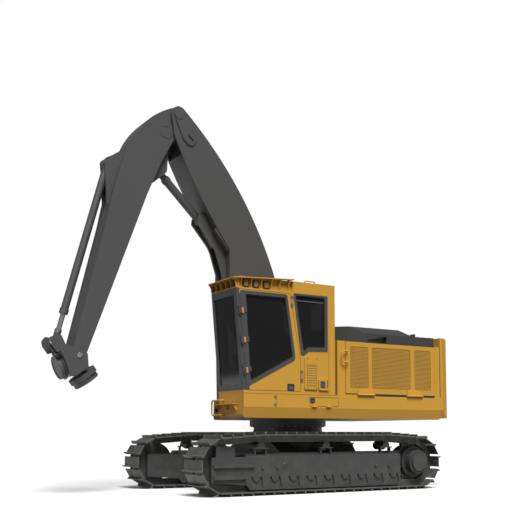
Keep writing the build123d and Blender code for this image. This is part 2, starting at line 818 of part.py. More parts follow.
def yoke():
    """The yoke at the stick's tip: two cheek plates, a web and the lugs of the tool cylinder."""
    cheek = outline((4940, 2600, 30), (4960, 2690, 30), (4900, 2780, 30), (4780, 2760, 30), (4700, 2600),
                    (4500, 2570, 60), (4310, 2480, 60), (4285, 2235, 20), (4500, 2080, 20), (4600, 2080, 20),
                    (4770, 2500), (4840, 2470, 20))
    body = None
    for low in (yoke_inner_y, -yoke_outer_y):
        plate = across(cheek, low, low + yoke_plate_thickness)
        body = plate if body is None else body + plate
    web = outline((4275, 2246), (4504, 2074), web_edge(-170), web_edge(235), (4660, 2470), (4590, 2260), (4340, 2300))
    body += across(web, -yoke_inner_y, yoke_inner_y)
    neck = aimed(rotator_face_x, 0, rotator_face_z, rotator_axis + 180)
    body += extrude(neck * Circle(rotator_neck_radius), rotator_neck_length)
    near = tool_eye_half_width + lug_gap
    lug = outline((4640, 2400), web_edge(225), (4900, 2640, 60), (4860, 2790, 60), (4740, 2770, 60), (4690, 2600))
    for low in (near, -near - tool_lug_thickness):
        body += across(lug, low, low + tool_lug_thickness)
    for low, high in ((yoke_inner_y, yoke_outer_y), (-yoke_outer_y, -yoke_inner_y)):
        body -= disc(wrist_x, wrist_z, wrist_pin_radius + seat_gap, low, high)
    return body


def front_flange():
    """The round flange on the yoke's front edge."""
    plane = aimed(front_flange_x, 0, front_flange_z, -front_flange_slope).offset(seat_gap)
    flange = extrude(plane * Circle(front_ring_radius), front_ring_thickness)
    flange += extrude(plane * Circle(front_flange_radius), front_flange_thickness)
    return flange - extrude(plane.offset(front_flange_thickness - 10) * Circle(front_flange_radius - 22), 10)


def rotator():
    """The rotator flange, with the bolt circle that carries a felling head."""
    plane = aimed(rotator_face_x, 0, rotator_face_z, rotator_axis)
    body = extrude(plane.offset(rotator_gap) * RegularPolygon(rotator_radius, rotator_sides),
                   rotator_rim_thickness)
    body += extrude(plane.offset(rotator_gap + rotator_rim_thickness) * Circle(rotator_face_radius),
                    rotator_thickness - rotator_rim_thickness)
    holes = PolarLocations(bolt_circle / 2, bolt_count)
    drill = plane.offset(rotator_gap + rotator_thickness - bolt_hole_depth)
    for place in holes:
        body -= extrude(drill * place * Circle(bolt_hole_radius), bolt_hole_depth)
    return body


def cylinder_barrel(base_x, base_z, end_x, end_z, y, length, radius, rod_radius, pin_radius, eye_half_width):
    """A cylinder's barrel with its base eye, bored for the rod."""
    angle = degrees(atan2(end_z - base_z, end_x - base_x))
    eye_radius = pin_radius + 45
    neck_length = eye_radius + neck_reach
    tube = extrude(aimed(base_x, y, base_z, angle).offset(neck_length) * Circle(radius), length - neck_length)
    tube += extrude(aimed(base_x, y, base_z, angle) * Circle(min(radius, eye_half_width) - neck_inset), neck_length)
    collar = aimed(base_x, y, base_z, angle).offset(length - collar_length)
    tube += extrude(collar * Circle(radius + collar_rise), collar_length)
    tube -= extrude(aimed(base_x, y, base_z, angle).offset(neck_length) * Circle(rod_radius + seat_gap), length)
    tube += disc(base_x, base_z, eye_radius, y - eye_half_width, y + eye_half_width)
    tube -= disc(base_x, base_z, pin_radius + seat_gap, y - eye_half_width, y + eye_half_width)
    return tube


def cylinder_rod(base_x, base_z, end_x, end_z, y, inside, rod_radius, pin_radius, eye_half_width):
    """A cylinder's rod from inside the barrel to its eye."""
    angle = degrees(atan2(end_z - base_z, end_x - base_x))
    reach = hypot(end_x - base_x, end_z - base_z)
    rod = extrude(aimed(base_x, y, base_z, angle).offset(inside) * Circle(rod_radius), reach - inside)
    return rod + disc(end_x, end_z, pin_radius + 45, y - eye_half_width, y + eye_half_width)


def cab_profile(inset, low_z, high_z):
    """The cab seen from the side, all its edges moved in by a wall."""
    lean = (cab_high_front_x - cab_low_front_x) / (cab_head_z - ledge_z)
    low_front = cab_low_front_x + lean * (low_z - ledge_z) - inset
    high_front = cab_low_front_x + lean * (high_z - ledge_z) - inset
    return outline((cab_rear_x + inset, low_z), (low_front, low_z), (high_front, high_z), (cab_rear_x + inset, high_z))


def door_profile(gap):
    """The door seen from the side, its edges moved out by a gap."""
    lean = (cab_high_front_x - cab_low_front_x) / (cab_head_z - ledge_z)
    low = ledge_z + 62 - gap
    high = cab_head_z - 20 + gap
    front_low = cab_low_front_x + lean * (low - ledge_z) - 55 + gap
    front_high = cab_low_front_x + lean * (high - ledge_z) - 55 + gap
    return outline((door_rear_mid_x - gap, low), (front_low, low), (front_high, high),
                   (door_rear_top_x - gap, high), (door_rear_mid_x - gap, door_rear_mid_z))


def door_window():
    """The door's window opening."""
    return outline((1762, 2003, 30), (1871, 3560, 30), (1026, 3560, 30), (866, 2467, 60))


def rear_window():
    """The fixed window behind the door."""
    return outline((635, 2560, 40), (520, 2665, 40), (150, 2675, 30), (150, 3625, 30), (815, 3625, 30))


def door_trim():
    """The dark frame round the door's window, with the moving leaves of the hinges."""
    ring = outline((1834, 1910, 40), (1988, 3622, 40), (992, 3622, 40), (808, 2434, 90)) - door_window()
    frame = across(ring, body_half_width, body_half_width + trim_thickness)
    for height in door_hinge_heights:
        frame += door_hinge(height)[1]
    return frame


def window_trim():
    """The dark frame round the fixed window behind the door."""
    ring = outline((684, 2480, 50), (512, 2602, 50), (90, 2615, 30), (90, 3660, 30), (858, 3660, 30))
    return across(ring - rear_window(), body_half_width, body_half_width + trim_thickness)


def door_hinge(height):
    """One hinge of the cab door: the fixed ears with their pin, and the eye with its leaf."""
    lean = atan2(cab_high_front_x - cab_low_front_x, cab_head_z - ledge_z)
    x = cab_low_front_x - door_hinge_inset + (height - ledge_z) * sin(lean) / cos(lean)
    plane = aimed(x, door_hinge_y, height, 90 - degrees(lean))
    stand_off = door_hinge_y - body_half_width
    half = door_hinge_eye_length / 2
    ear = Circle(door_hinge_eye_radius - 2) + outline((-stand_off, -door_hinge_inset), (0, 2 - door_hinge_eye_radius),
                                                      (0, 10), (-stand_off, 16))
    outer = half + hinge_ear_gap + hinge_ear_length
    fixed = extrude(plane.offset(-outer) * Circle(door_hinge_pin_radius), 2 * outer)
    for start in (-outer, half + hinge_ear_gap):
        fixed += extrude(plane.offset(start) * ear, hinge_ear_length)
    inner = 2 - door_hinge_eye_radius
    leaf = outline((-8, 0), (inner, 0), (inner, 26), (-stand_off, 26), (-stand_off, door_leaf_length),
                   (-8, door_leaf_length))
    eye = Circle(door_hinge_eye_radius) + leaf - Circle(door_hinge_pin_radius + seat_gap)
    return fixed, extrude(plane.offset(-half) * eye, door_hinge_eye_length)


def whole_cab():
    """The cab's hollow shell with its door and window openings, narrower at the head for the lamps."""
    high = cab_roof_z
    body = across(cab_profile(0, ledge_z + body_gap, high), body_inner_y, body_half_width)
    rim_z = visor_low_z + visor_rim_height
    far_x = visor_front_x + visor_reach
    head = block(visor_rear_x, far_x, body_inner_y - 1, body_half_width + 1, rim_z, high + 1)
    head -= block(visor_rear_x, head_front_x, body_inner_y + head_inset, body_half_width - head_inset,
                  rim_z, high + 1)
    body -= head
    hollow = across(cab_profile(cab_wall, ledge_z + body_gap + cab_floor, high - cab_wall),
                    body_inner_y + cab_wall, body_half_width - cab_wall)
    hollow -= block(head_front_x - cab_wall, far_x, body_inner_y, body_half_width, visor_low_z, high)
    body -= hollow
    body -= across(door_profile(door_gap), body_half_width - cab_wall - 1, body_half_width + 1)
    body -= across(rear_window(), body_half_width - cab_wall - 1, body_half_width + 1)
    body -= across(right_window(), body_inner_y - 1, body_inner_y + cab_wall + 1)
    body -= block(cab_low_front_x - 2 * cab_wall, far_x, *front_glass_y, *front_glass_z)
    body -= block(cab_rear_x - 1, cab_rear_x + cab_wall + 1, *rear_glass_y, *rear_glass_z)
    for height in door_hinge_heights:
        body += door_hinge(height)[0]
    return body


def front_region(gap):
    """The space ahead of the leaning seam between the cab's shell and its front frame."""
    lean = (cab_high_front_x - cab_low_front_x) / (cab_head_z - ledge_z)
    low = front_frame_low_z + gap
    high = visor_low_z - gap
    seam = cab_low_front_x - pillar_depth + gap
    far_x = visor_front_x + visor_reach
    region = outline((seam + lean * (low - ledge_z), low), (far_x, low), (far_x, high),
                     (seam + lean * (high - ledge_z), high))
    return across(region, body_inner_y - 1, body_half_width + visor_reach + 1)


def right_window():
    """The window in the cab's right side."""
    return outline((250, 2300, 20), (1700, 2300, 20), (1780, 3550, 20), (250, 3550, 20))


def cab_glass():
    """The cab's fixed panes, each set in its opening."""
    slope = (cab_high_front_x - cab_low_front_x) / (cab_head_z - ledge_z)
    low, high = front_glass_z
    low_x = cab_low_front_x + slope * (low - ledge_z) - glass_depth
    high_x = cab_low_front_x + slope * (high - ledge_z) - glass_depth
    front = outline((low_x, low), (low_x + glass_thickness, low), (high_x + glass_thickness, high), (high_x, high))
    panes = [across(front, *front_glass_y)]
    panes.append(across(rear_window(), body_half_width - glass_depth - glass_thickness,
                        body_half_width - glass_depth))
    panes.append(across(right_window(), body_inner_y + glass_depth, body_inner_y + glass_depth + glass_thickness))
    panes.append(block(cab_rear_x + glass_depth, cab_rear_x + glass_depth + glass_thickness, *rear_glass_y,
                       *rear_glass_z))
    return panes


def door_panel():
    """The cab door's panel with its window cut out."""
    panel = across(door_profile(0), body_half_width - door_thickness, body_half_width)
    return panel - across(door_window(), body_half_width - door_thickness - 1, body_half_width + 1)


def door_glass():
    """The door's pane."""
    return across(door_window(), body_half_width - glass_depth - glass_thickness, body_half_width - glass_depth)


def visor():
    """The flared visor round the cab's head: a roof plate on curved ribs between the lamps."""
    drop = (visor_rear_z - visor_front_z) / (visor_front_x - visor_rear_x)
    low = visor_low_z + visor_rim_height
    outer_y = body_half_width + visor_reach
    inner_y = body_inner_y - visor_inner_reach
    slab = outline((visor_rear_x, visor_rear_z - visor_plate), (visor_front_x, visor_front_z - visor_plate),
                   (visor_front_x, visor_front_z), (visor_rear_x, visor_rear_z))
    body = across(slab, inner_y, outer_y)
    body &= upright(outline((visor_rear_x, inner_y), (visor_front_x, inner_y, 60), (visor_front_x, outer_y, 60),
                            (visor_rear_x, outer_y)), low, visor_rear_z + 1)
    body -= block(visor_rear_x - 1, head_front_x, body_inner_y + head_inset, body_half_width - head_inset,
                  low, visor_rear_z + 1)
    half = rib_thickness / 2
    middle_y = (body_inner_y + body_half_width) / 2
    for x in side_rib_x:
        top = visor_front_z + drop * (visor_front_x - x) - visor_plate / 2
        rib = outline((body_half_width - head_inset, low), (body_half_width - 2, low),
                      (body_half_width + 12, low + 90, 120), (outer_y - 4, top), (body_half_width - head_inset, top))
        piece = along(rib, x - half, x + half)
        body += piece
        body += mirror(piece, about=Plane.XZ.offset(-middle_y)) & block(x - half, x + half, inner_y, middle_y,
                                                                       low, top)
    lean = (cab_high_front_x - cab_low_front_x) / (cab_head_z - ledge_z)
    sill_x = cab_low_front_x + lean * (low - ledge_z) - 2
    top = visor_front_z - visor_plate / 2
    rib = outline((head_front_x, low), (sill_x, low), (sill_x + 15, low + 90, 120), (visor_front_x - 4, top),
                  (head_front_x, top))
    for y in front_rib_y:
        body += across(rib, y - half, y + half)
    return body


def lamp():
    """One work lamp: a bezel round a sunk face, facing +X from the origin."""
    half = front_lamp_width / 2
    body = block(0, lamp_depth, -half, half, 0, lamp_height)
    face = block(lamp_depth - lamp_rim, lamp_depth + 1, lamp_rim - half, half - lamp_rim, lamp_rim,
                 lamp_height - lamp_rim)
    return body - face


def work_lamps():
    """The work lamps under the visor, five in front and three at the left side."""
    lamps = [Pos(head_front_x, y, lamp_low_z) * lamp() for y in front_lamp_y]
    for x in side_lamp_x:
        lamps.append(Pos(x, body_half_width - head_inset, lamp_low_z) * Rot(0, 0, 90) * lamp())
    return lamps


def vent_cover():
    """The plate over the vents behind the door, and the latch box beside it."""
    low = body_half_width
    plate = outline((vent_x[0], vent_z[0], 30), (vent_x[1], vent_z[0], 30), (vent_x[1], vent_z[1], 30),
                    (vent_x[0], vent_z[1], 30))
    cover = across(plate, low, low + vent_thickness)
    cover -= block(*vent_pocket_x, low + vent_thickness - vent_pocket_depth, low + vent_thickness + 1,
                   *vent_pocket_z)
    box = outline((latch_box_x[0], latch_box_z[0], 25), (latch_box_x[1], latch_box_z[0], 25),
                  (latch_box_x[1], latch_box_z[1], 25), (latch_box_x[0], latch_box_z[1], 25))
    return [cover, across(box, low, low + latch_box_depth)]


def roof_handle():
    """The handle along the left edge of the cab's roof."""
    path = FilletPolyline((roof_handle_x[0], roof_handle_y, cab_roof_z),
                          (roof_handle_x[0], roof_handle_y, cab_roof_z + handle_rise),
                          (roof_handle_x[1], roof_handle_y, cab_roof_z + handle_rise),
                          (roof_handle_x[1], roof_handle_y, cab_roof_z), radius=2 * handle_radius)
    return sweep(Plane(path @ 0, z_dir=path % 0) * Circle(handle_radius), path=path)


def front_step():
    """The step plate on the left box's front, with its three gussets."""
    x = left_front_x
    step = block(x, x + step_reach, *step_y, step_z, step_z + step_thickness)
    gusset = outline((x, step_z - step_rib_drop), (x + step_reach - 20, step_z), (x, step_z))
    low, high = step_y
    for start in (low + 20, (low + high) / 2, high - 32):
        step += across(gusset, start, start + step_thickness)
    return step


def front_rail():
    """The bent rail on the left box's front."""
    x = left_front_x
    near_y, far_y = rail_y
    low, high = rail_z
    path = FilletPolyline((x, far_y, high), (x + rail_reach, far_y, high), (x + rail_reach, near_y, high),
                          (x + rail_reach, near_y, low), (x + rail_reach, far_y, low), (x, far_y, low),
                          radius=rail_bend)
    return sweep(Plane(path @ 0, z_dir=path % 0) * Circle(rail_radius), path=path)


def seat():
    """The operator's seat: base, cushion and backrest."""
    base = block(420, 900, 850, 1300, ledge_z + cab_floor + body_gap, 2150)
    cushion = outline((380, 2150), (960, 2150, 40), (960, 2290, 50), (520, 2290, 60), (380, 2950, 60), (240, 2950, 60))
    return base + across(cushion, 840, 1310)


def console():
    """The two armrest consoles beside the seat."""
    low = ledge_z + cab_floor + body_gap
    return [block(450, 1150, 690, 820, low, 2420), block(450, 1150, 1330, 1440, low, 2420)]


def engine_house():
    """The engine house: front and rear walls with their posts, roof panel and sills."""
    low = ledge_z + body_gap
    half = body_half_width - house_inset
    shell = block(engine_rear_x, engine_front_x, -half, half, low, engine_top_z)
    shell -= block(engine_rear_x + engine_wall, engine_front_x - engine_wall, -body_half_width, body_half_width,
                   low + 30, engine_top_z - 30)
    door_rear = engine_door_rear_x - door_gap
    shell -= block(door_rear, engine_post_rear_x, engine_roof_half_width, body_half_width,
                   low + 30, engine_top_z + 1)
    shell -= block(door_rear, engine_post_rear_x, -body_half_width, -engine_roof_half_width,
                   low + 30, engine_top_z + 1)
    for side in (-1, 1):
        near = side * (half - engine_wall)
        far = side * half
        shell += block(engine_post_rear_x, engine_front_x, min(near, far), max(near, far), low, engine_top_z)
        shell += block(engine_rear_x, door_rear, min(near, far), max(near, far), low, engine_top_z)
    for ears, leaf in engine_hinges():
        for piece in both_sides(ears):
            shell += piece
    return shell


def engine_door():
    """The left grille door of the engine house, hinged at its lower edge."""
    panel = block(engine_door_rear_x, engine_door_front_x, body_half_width - engine_door_thickness, body_half_width,
                  engine_door_low_z, engine_door_high_z)
    low, high = grille_z
    floor_y = body_half_width - grille_depth
    slat_count = int((high - low) / slat_pitch)
    for rear, front in grille_openings:
        opening = outline((rear, low, grille_corner), (front, low, grille_corner), (front, high, grille_corner),
                          (rear, high, grille_corner))
        panel -= across(opening, floor_y, body_half_width + 1)
        for i in range(1, slat_count):
            z = low + i * slat_pitch
            panel += block(rear, front, floor_y, floor_y + slat_depth, z, z + slat_thickness)
    for ears, leaf in engine_hinges():
        panel += leaf
    return panel


def hood():
    """The hood over the engine house: a rimmed base, a raised crown and the filler cap."""
    low = engine_top_z + body_gap
    edge = low + hood_edge_rise
    nose_x = engine_front_x - 10
    base = outline((nose_x, -hood_corner_half_width), (hood_corner_x, -hood_half_width),
                   (hood_rear_x, -hood_half_width), (hood_rear_x, hood_half_width), (hood_corner_x, hood_half_width),
                   (nose_x, hood_corner_half_width))
    body = upright(base, low, edge)
    crown = across(outline((nose_x - 12, edge - 1), (hood_crown_x[0], hood_peak_z), (hood_crown_x[1], hood_peak_z),
                           (hood_step_x, edge - 1)), -hood_half_width, hood_half_width)
    crown &= along(outline((12 - hood_half_width, edge - 1), (-hood_crown_half_width, hood_peak_z),
                           (hood_crown_half_width, hood_peak_z), (hood_half_width - 12, edge - 1)),
                   hood_rear_x, nose_x)
    body += crown & upright(base, edge - 1, hood_peak_z)
    rear, front = hood_notch_x
    rise, fall = hood_notch_rise
    notch = outline((rear, low + 10, 12), (front, low + 25, 12), (front, low + rise, 12), (rear, low + fall, 12))
    for low_y in (-hood_half_width - 1, hood_half_width - hood_notch_depth):
        body -= across(notch, low_y, low_y + hood_notch_depth + 1)
    cap = Pos(cap_x, hood_crown_half_width, edge) * Cylinder(cap_radius, hood_cap_height,
                                                            align=(Align.CENTER, Align.CENTER, Align.MIN))
    return body + cap


def counterweight():
    """The counterweight across the machine's tail."""
    w = body_half_width
    weight_front_x = body_rear_x - body_gap
    plan = outline((weight_front_x, -w), (weight_front_x, w), (weight_front_x - 60, w, 40),
                   (weight_rear_x + 60, w - weight_side_bevel, 80), (weight_rear_x, w - 330, 200),
                   (weight_rear_x, 330 - w, 200), (weight_rear_x + 60, weight_side_bevel - w, 80),
                   (weight_front_x - 60, -w, 40))
    body = upright(plan, weight_low_z, weight_top_z)
    body &= along(outline((weight_foot_inset - w, weight_low_z), (w - weight_foot_inset, weight_low_z),
                          (w, weight_crease_z), (w, weight_top_z), (-w, weight_top_z), (-w, weight_crease_z)),
                  weight_rear_x, weight_front_x)
    return body & across(outline((weight_front_x, weight_low_z), (weight_rear_x + weight_foot_inset, weight_low_z),
                                 (weight_rear_x, weight_crease_z), (weight_rear_x, weight_top_z),
                                 (weight_front_x, weight_top_z)), -w, w)


def engine_block():
    """The engine and pumps as one plain mass."""
    length, width, height = engine_block_size
    x = (engine_front_x + engine_rear_x) / 2
    low = ledge_z + body_gap + 30 + body_gap
    return block(x - length / 2, x + length / 2, -width / 2, width / 2, low, low + height)


hoist_ends = (hoist_base_x, hoist_base_z, hoist_top_x, hoist_top_z)
stick_ends = (stick_base_x, stick_base_z, stick_rod_x, stick_rod_z)
tool_ends = (tool_base_x, tool_base_z, tool_rod_x, tool_rod_z)
stick_eye = bracket_half_width - bracket_thickness - lug_gap

hoist_barrels = [cylinder_barrel(*hoist_ends, side * hoist_y, 1270, hoist_barrel_radius, hoist_rod_radius,
                                 hoist_pin_radius, hoist_eye_half_width) for side in (-1, 1)]
hoist_rods = [cylinder_rod(*hoist_ends, side * hoist_y, 1130, hoist_rod_radius, hoist_pin_radius,
                           hoist_eye_half_width) for side in (-1, 1)]

nodes = {
    "carbody": [carbody()],
    "swing_bearing": [swing_bearing()],
    "turntable": [turntable()],
    "main_deck": [upper_deck()],
    "skirt_left": [left_skirt()],
    "skirt_right": [mirror(side_skirt(right_front_x), about=Plane.XZ)],
    "skirt_hatch": [hatch()],
    "boom": [boom()],
    "stick": [stick()],
    "yoke": [yoke()],
    "yoke_flange": [front_flange()],
    "rotator": [rotator()],
    "hoist_barrels": hoist_barrels,
    "hoist_rods": hoist_rods,
    "stick_barrel": [cylinder_barrel(*stick_ends, 0, 1050, stick_barrel_radius, stick_rod_radius,
                                     hoist_pin_radius, stick_eye)],
    "stick_rod": [cylinder_rod(*stick_ends, 0, 182, stick_rod_radius, hoist_pin_radius, stick_eye)],
    "tool_barrel": [cylinder_barrel(*tool_ends, 0, tool_barrel_length + 210, tool_barrel_radius, tool_rod_radius,
                                    hoist_pin_radius, tool_eye_half_width)],
    "tool_rod": [cylinder_rod(*tool_ends, 0, 2300, tool_rod_radius, hoist_pin_radius, tool_eye_half_width)],
    "cab_shell": [whole_cab() - front_region(0)],
    "cab_front_frame": [whole_cab() & front_region(body_gap)],
    "cab_glass": cab_glass(),
    "window_frames": [window_trim()],
    "cab_door": [door_panel()],
    "door_frame": [door_trim()],
    "door_glass": [door_glass()],
    "visor": [visor()],
    "work_lamps": work_lamps(),
    "vent_cover": vent_cover(),
    "roof_handle": [roof_handle()],
    "front_rail": [front_rail(), front_step()],
    "seat": [seat()],
    "consoles": console(),
    "engine_house": [engine_house()],
    "engine_block": [engine_block()],
    "engine_door_left": [engine_door()],
    "engine_door_right": [mirror(engine_door(), about=Plane.XZ)],
    "hood": [hood()],
    "counterweight": [counterweight()],
}
for name, shape in (("track", track()), ("track_frame", track_frame()), ("idler", idler()),
                    ("final_drive", final_drive())):
    left, right = both_sides(shape)
    nodes[name + "_left"] = [left]
    nodes[name + "_right"] = [right]

# The origin lies on the ground below the middle of the machine's whole length
all_boxes = [piece.bounding_box() for pieces in nodes.values() for piece in pieces]
middle_x = (min(box.min.X for box in all_boxes) + max(box.max.X for box in all_boxes)) / 2

os.makedirs("parts", exist_ok=True)
for name, pieces in nodes.items():
    moved = [Pos(-middle_x, 0, 0) * piece for piece in pieces]
    export_step(moved[0] if len(moved) == 1 else Compound(children=moved), f"parts/{name}.step")
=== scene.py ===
import math
import bmesh
import bpy
from mathutils import Matrix, Vector


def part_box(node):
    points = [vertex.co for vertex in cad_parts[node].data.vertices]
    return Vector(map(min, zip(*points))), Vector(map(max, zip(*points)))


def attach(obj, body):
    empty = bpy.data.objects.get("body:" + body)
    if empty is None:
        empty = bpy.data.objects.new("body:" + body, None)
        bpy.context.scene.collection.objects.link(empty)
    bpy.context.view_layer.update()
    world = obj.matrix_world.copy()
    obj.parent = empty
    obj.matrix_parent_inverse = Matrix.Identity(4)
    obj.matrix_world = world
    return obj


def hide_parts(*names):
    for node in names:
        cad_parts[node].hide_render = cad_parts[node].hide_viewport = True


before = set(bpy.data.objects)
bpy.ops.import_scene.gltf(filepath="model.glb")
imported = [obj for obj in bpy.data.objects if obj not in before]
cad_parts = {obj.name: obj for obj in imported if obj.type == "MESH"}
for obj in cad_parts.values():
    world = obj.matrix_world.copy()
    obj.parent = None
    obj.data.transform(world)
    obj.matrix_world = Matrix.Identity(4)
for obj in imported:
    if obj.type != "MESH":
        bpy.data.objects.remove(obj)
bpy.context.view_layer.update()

# ---------------------------------------------------------------------------------------------
# Studio: a plain pale floor that throws no light back, and a white surround with soft light from
# high on the left. The camera stands low at the machine's left front, as in the photograph, and
# looks up a little. Its upright sensor leaves room round the machine in views from other sides.

floor_size = 160.0
floor_colour = (0.86, 0.86, 0.86, 1)
floor_roughness = 0.9
white = (1, 1, 1, 1)
surround_light = 0.2
key_power = 4.5
key_softness = 0.5
key_place = (2.8, 7.8, 13.0)
camera_place = (8.454, 14.912, 1.077)
camera_level = 90.0
camera_rise = 6.0
camera_turn = 180.0 - 32.11
camera_lens = 61.07
camera_shift = (-0.0577, 0.1687)
sensor_height = 36.0
sensor_width = 30.0


def put(mesh_name, mesh):
    """Links a finished mesh as an object at the origin."""
    made = bpy.data.objects.new(mesh_name, mesh)
    bpy.context.scene.collection.objects.link(made)
    return made


floor_mesh = bpy.data.meshes.new("floor")
floor_shape = bmesh.new()
bmesh.ops.create_grid(floor_shape, x_segments=1, y_segments=1, size=floor_size / 2)
floor_shape.to_mesh(floor_mesh)
floor_shape.free()
floor = put("floor", floor_mesh)
floor_finish = bpy.data.materials.new("floor")
floor_finish.use_nodes = True
floor_shader = floor_finish.node_tree.nodes["Principled BSDF"]
floor_shader.inputs["Base Color"].default_value = floor_colour
floor_shader.inputs["Roughness"].default_value = floor_roughness
floor.data.materials.append(floor_finish)
floor.visible_diffuse = False

surround = bpy.data.worlds.new("surround")
surround.use_nodes = True
surround_tree = surround.node_tree
surround_sky = surround_tree.nodes["Background"]
surround_sky.inputs["Color"].default_value = white
seen_or_felt = surround_tree.nodes.new("ShaderNodeLightPath")
sky_strength = surround_tree.nodes.new("ShaderNodeMapRange")
sky_strength.inputs["To Min"].default_value = surround_light
surround_tree.links.new(seen_or_felt.outputs["Is Camera Ray"], sky_strength.inputs["Value"])
surround_tree.links.new(sky_strength.outputs["Result"], surround_sky.inputs["Strength"])
bpy.context.scene.world = surround
key_lamp = bpy.data.lights.new("key", "SUN")
key_lamp.energy = key_power
key_lamp.angle = key_softness
key_light = bpy.data.objects.new("key", key_lamp)
bpy.context.scene.collection.objects.link(key_light)
key_light.location = key_place
key_light.rotation_euler = (-Vector(key_place)).to_track_quat("-Z", "Y").to_euler()
bpy.context.scene.view_settings.view_transform = "Standard"

view_finder = bpy.data.cameras.new("camera")
view_finder.lens = camera_lens
view_finder.sensor_fit = "VERTICAL"
view_finder.sensor_height = sensor_height
view_finder.sensor_width = sensor_width
view_finder.shift_x, view_finder.shift_y = camera_shift
camera = bpy.data.objects.new("camera", view_finder)
bpy.context.scene.collection.objects.link(camera)
camera.location = camera_place
camera.rotation_euler = (math.radians(camera_level + camera_rise), 0, math.radians(camera_turn))
bpy.context.scene.camera = camera

# ---------------------------------------------------------------------------------------------
# Tracks: cast links with pressed shoes, bare steel that the ground keeps scoured.
# The grouser tips wear bright while the hollows between them hold dry soil.

track_nodes = ("track_left", "track_right")
steel_colour = (0.085, 0.088, 0.082)
soil_colour = (0.115, 0.112, 0.1)
scoured_colour = (0.42, 0.42, 0.41)
scoured_size = 0.006
edge_samples = 4
edge_turn = (0.01, 0.25)
mix_share, mix_first, mix_second, mix_result = 0, 6, 7, 2


class Value:
    """A socket of a finish's node tree. Arithmetic on it adds Math nodes."""

    def __init__(self, finish, socket):
        self.finish = finish
        self.socket = socket

    def maths(self, operation, first, second):
        return self.finish.node("ShaderNodeMath", {"operation": operation}, {0: first, 1: second})

    def __add__(self, other):
        return self.maths("ADD", self, other)

    __radd__ = __add__

    def __sub__(self, other):
        return self.maths("SUBTRACT", self, other)

    def __rsub__(self, other):
        return self.maths("SUBTRACT", other, self)

    def __mul__(self, other):
        return self.maths("MULTIPLY", self, other)

    __rmul__ = __mul__

    def above(self, low, high):
        """0 below low, 1 above high and a smooth step between them."""
        return self.finish.node("ShaderNodeMapRange", {"interpolation_type": "SMOOTHSTEP"},
                                {"Value": self, "From Min": low, "From Max": high})


class Finish:
    """A procedural finish on one Principled shader."""

    def __init__(self, name, **sockets):
        self.material = bpy.data.materials.new(name)
        self.material.use_nodes = True
        self.tree = self.material.node_tree
        self.shader = self.tree.nodes["Principled BSDF"]
        self.coordinates = self.node("ShaderNodeTexCoord", output="Object")
        self.set(**sockets)

    def set(self, **sockets):
        """Sets or links the shader's sockets; _ stands for a space in their names."""
        for name, value in sockets.items():
            self.feed(self.shader.inputs[name.replace("_", " ")], value)
        return self

    def feed(self, socket, value):
        if isinstance(value, Value):
            self.tree.links.new(value.socket, socket)
        elif isinstance(value, tuple) and len(value) == 3 and socket.type == "RGBA":
            socket.default_value = (*value, 1)
        else:
            socket.default_value = value

    def node(self, kind, settings=None, inputs=None, output=0):
        """Adds a node: its settings first, then the values or links of its sockets."""
        made = self.tree.nodes.new(kind)
        for name, value in (settings or {}).items():
            setattr(made, name, value)
        for name, value in (inputs or {}).items():
            self.feed(made.inputs[name], value)
        return Value(self, made.outputs[output])

    def noise(self, scale, detail=3.0, roughness=0.55, stretch=(1, 1, 1)):
        """Noise over the object, at a scale in waves a metre."""
        place = self.node("ShaderNodeMapping", inputs={"Vector": self.coordinates, "Scale": stretch})
        return self.node("ShaderNodeTexNoise", inputs={"Vector": place, "Scale": scale, "Detail": detail,
                                                       "Roughness": roughness})

    def axis(self, name):
        """One coordinate in metres."""
        return self.node("ShaderNodeSeparateXYZ", inputs={0: self.coordinates}, output=name)

    def mix(self, share, first, second):
        """A colour between two, by a share from 0 to 1."""
        return self.node("ShaderNodeMix", {"data_type": "RGBA"}, {mix_share: share, mix_first: first,
                                                                  mix_second: second}, output=mix_result)

    def bump(self, height, distance, strength=0.5):
        """A normal from a height."""
        return self.node("ShaderNodeBump", inputs={"Height": height, "Distance": distance, "Strength": strength})

    def edges(self, size):
        """The share by which a surface is a worn edge, from how far a rounded normal turns from the true one."""
        rounded_normal = self.node("ShaderNodeBevel", {"samples": edge_samples}, {"Radius": size})
        true_normal = self.node("ShaderNodeNewGeometry", output="Normal")
        likeness = self.node("ShaderNodeVectorMath", {"operation": "DOT_PRODUCT"}, {0: rounded_normal, 1: true_normal},
                             output="Value")
        return (1 - likeness).above(*edge_turn)


def wear(finish, names):
    """Gives a finish to CAD nodes or pieces by name."""
    for name in names:
        piece = bpy.data.objects[name]
        piece.data.materials.clear()
        piece.data.materials.append(finish.material)


shoe_steel = Finish("shoe_steel", Metallic=0.35)
soil = shoe_steel.noise(5, 6).above(0.45, 0.68)
grain = shoe_steel.noise(90, 4)
scoured = shoe_steel.edges(scoured_size)
shoe_colour = shoe_steel.mix(soil, steel_colour, soil_colour)
shoe_steel.set(Base_Color=shoe_steel.mix(scoured, shoe_colour, scoured_colour),
               Roughness=0.5 + soil * 0.25, Normal=shoe_steel.bump(grain, 0.002, 0.4))
wear(shoe_steel, track_nodes)

# ---------------------------------------------------------------------------------------------
# Track frames, rollers, idlers, final drives and carbody: welded plate and castings in dark
# grey satin paint. Bolts ring the hubs and the swing bearing, and studs close the beams.

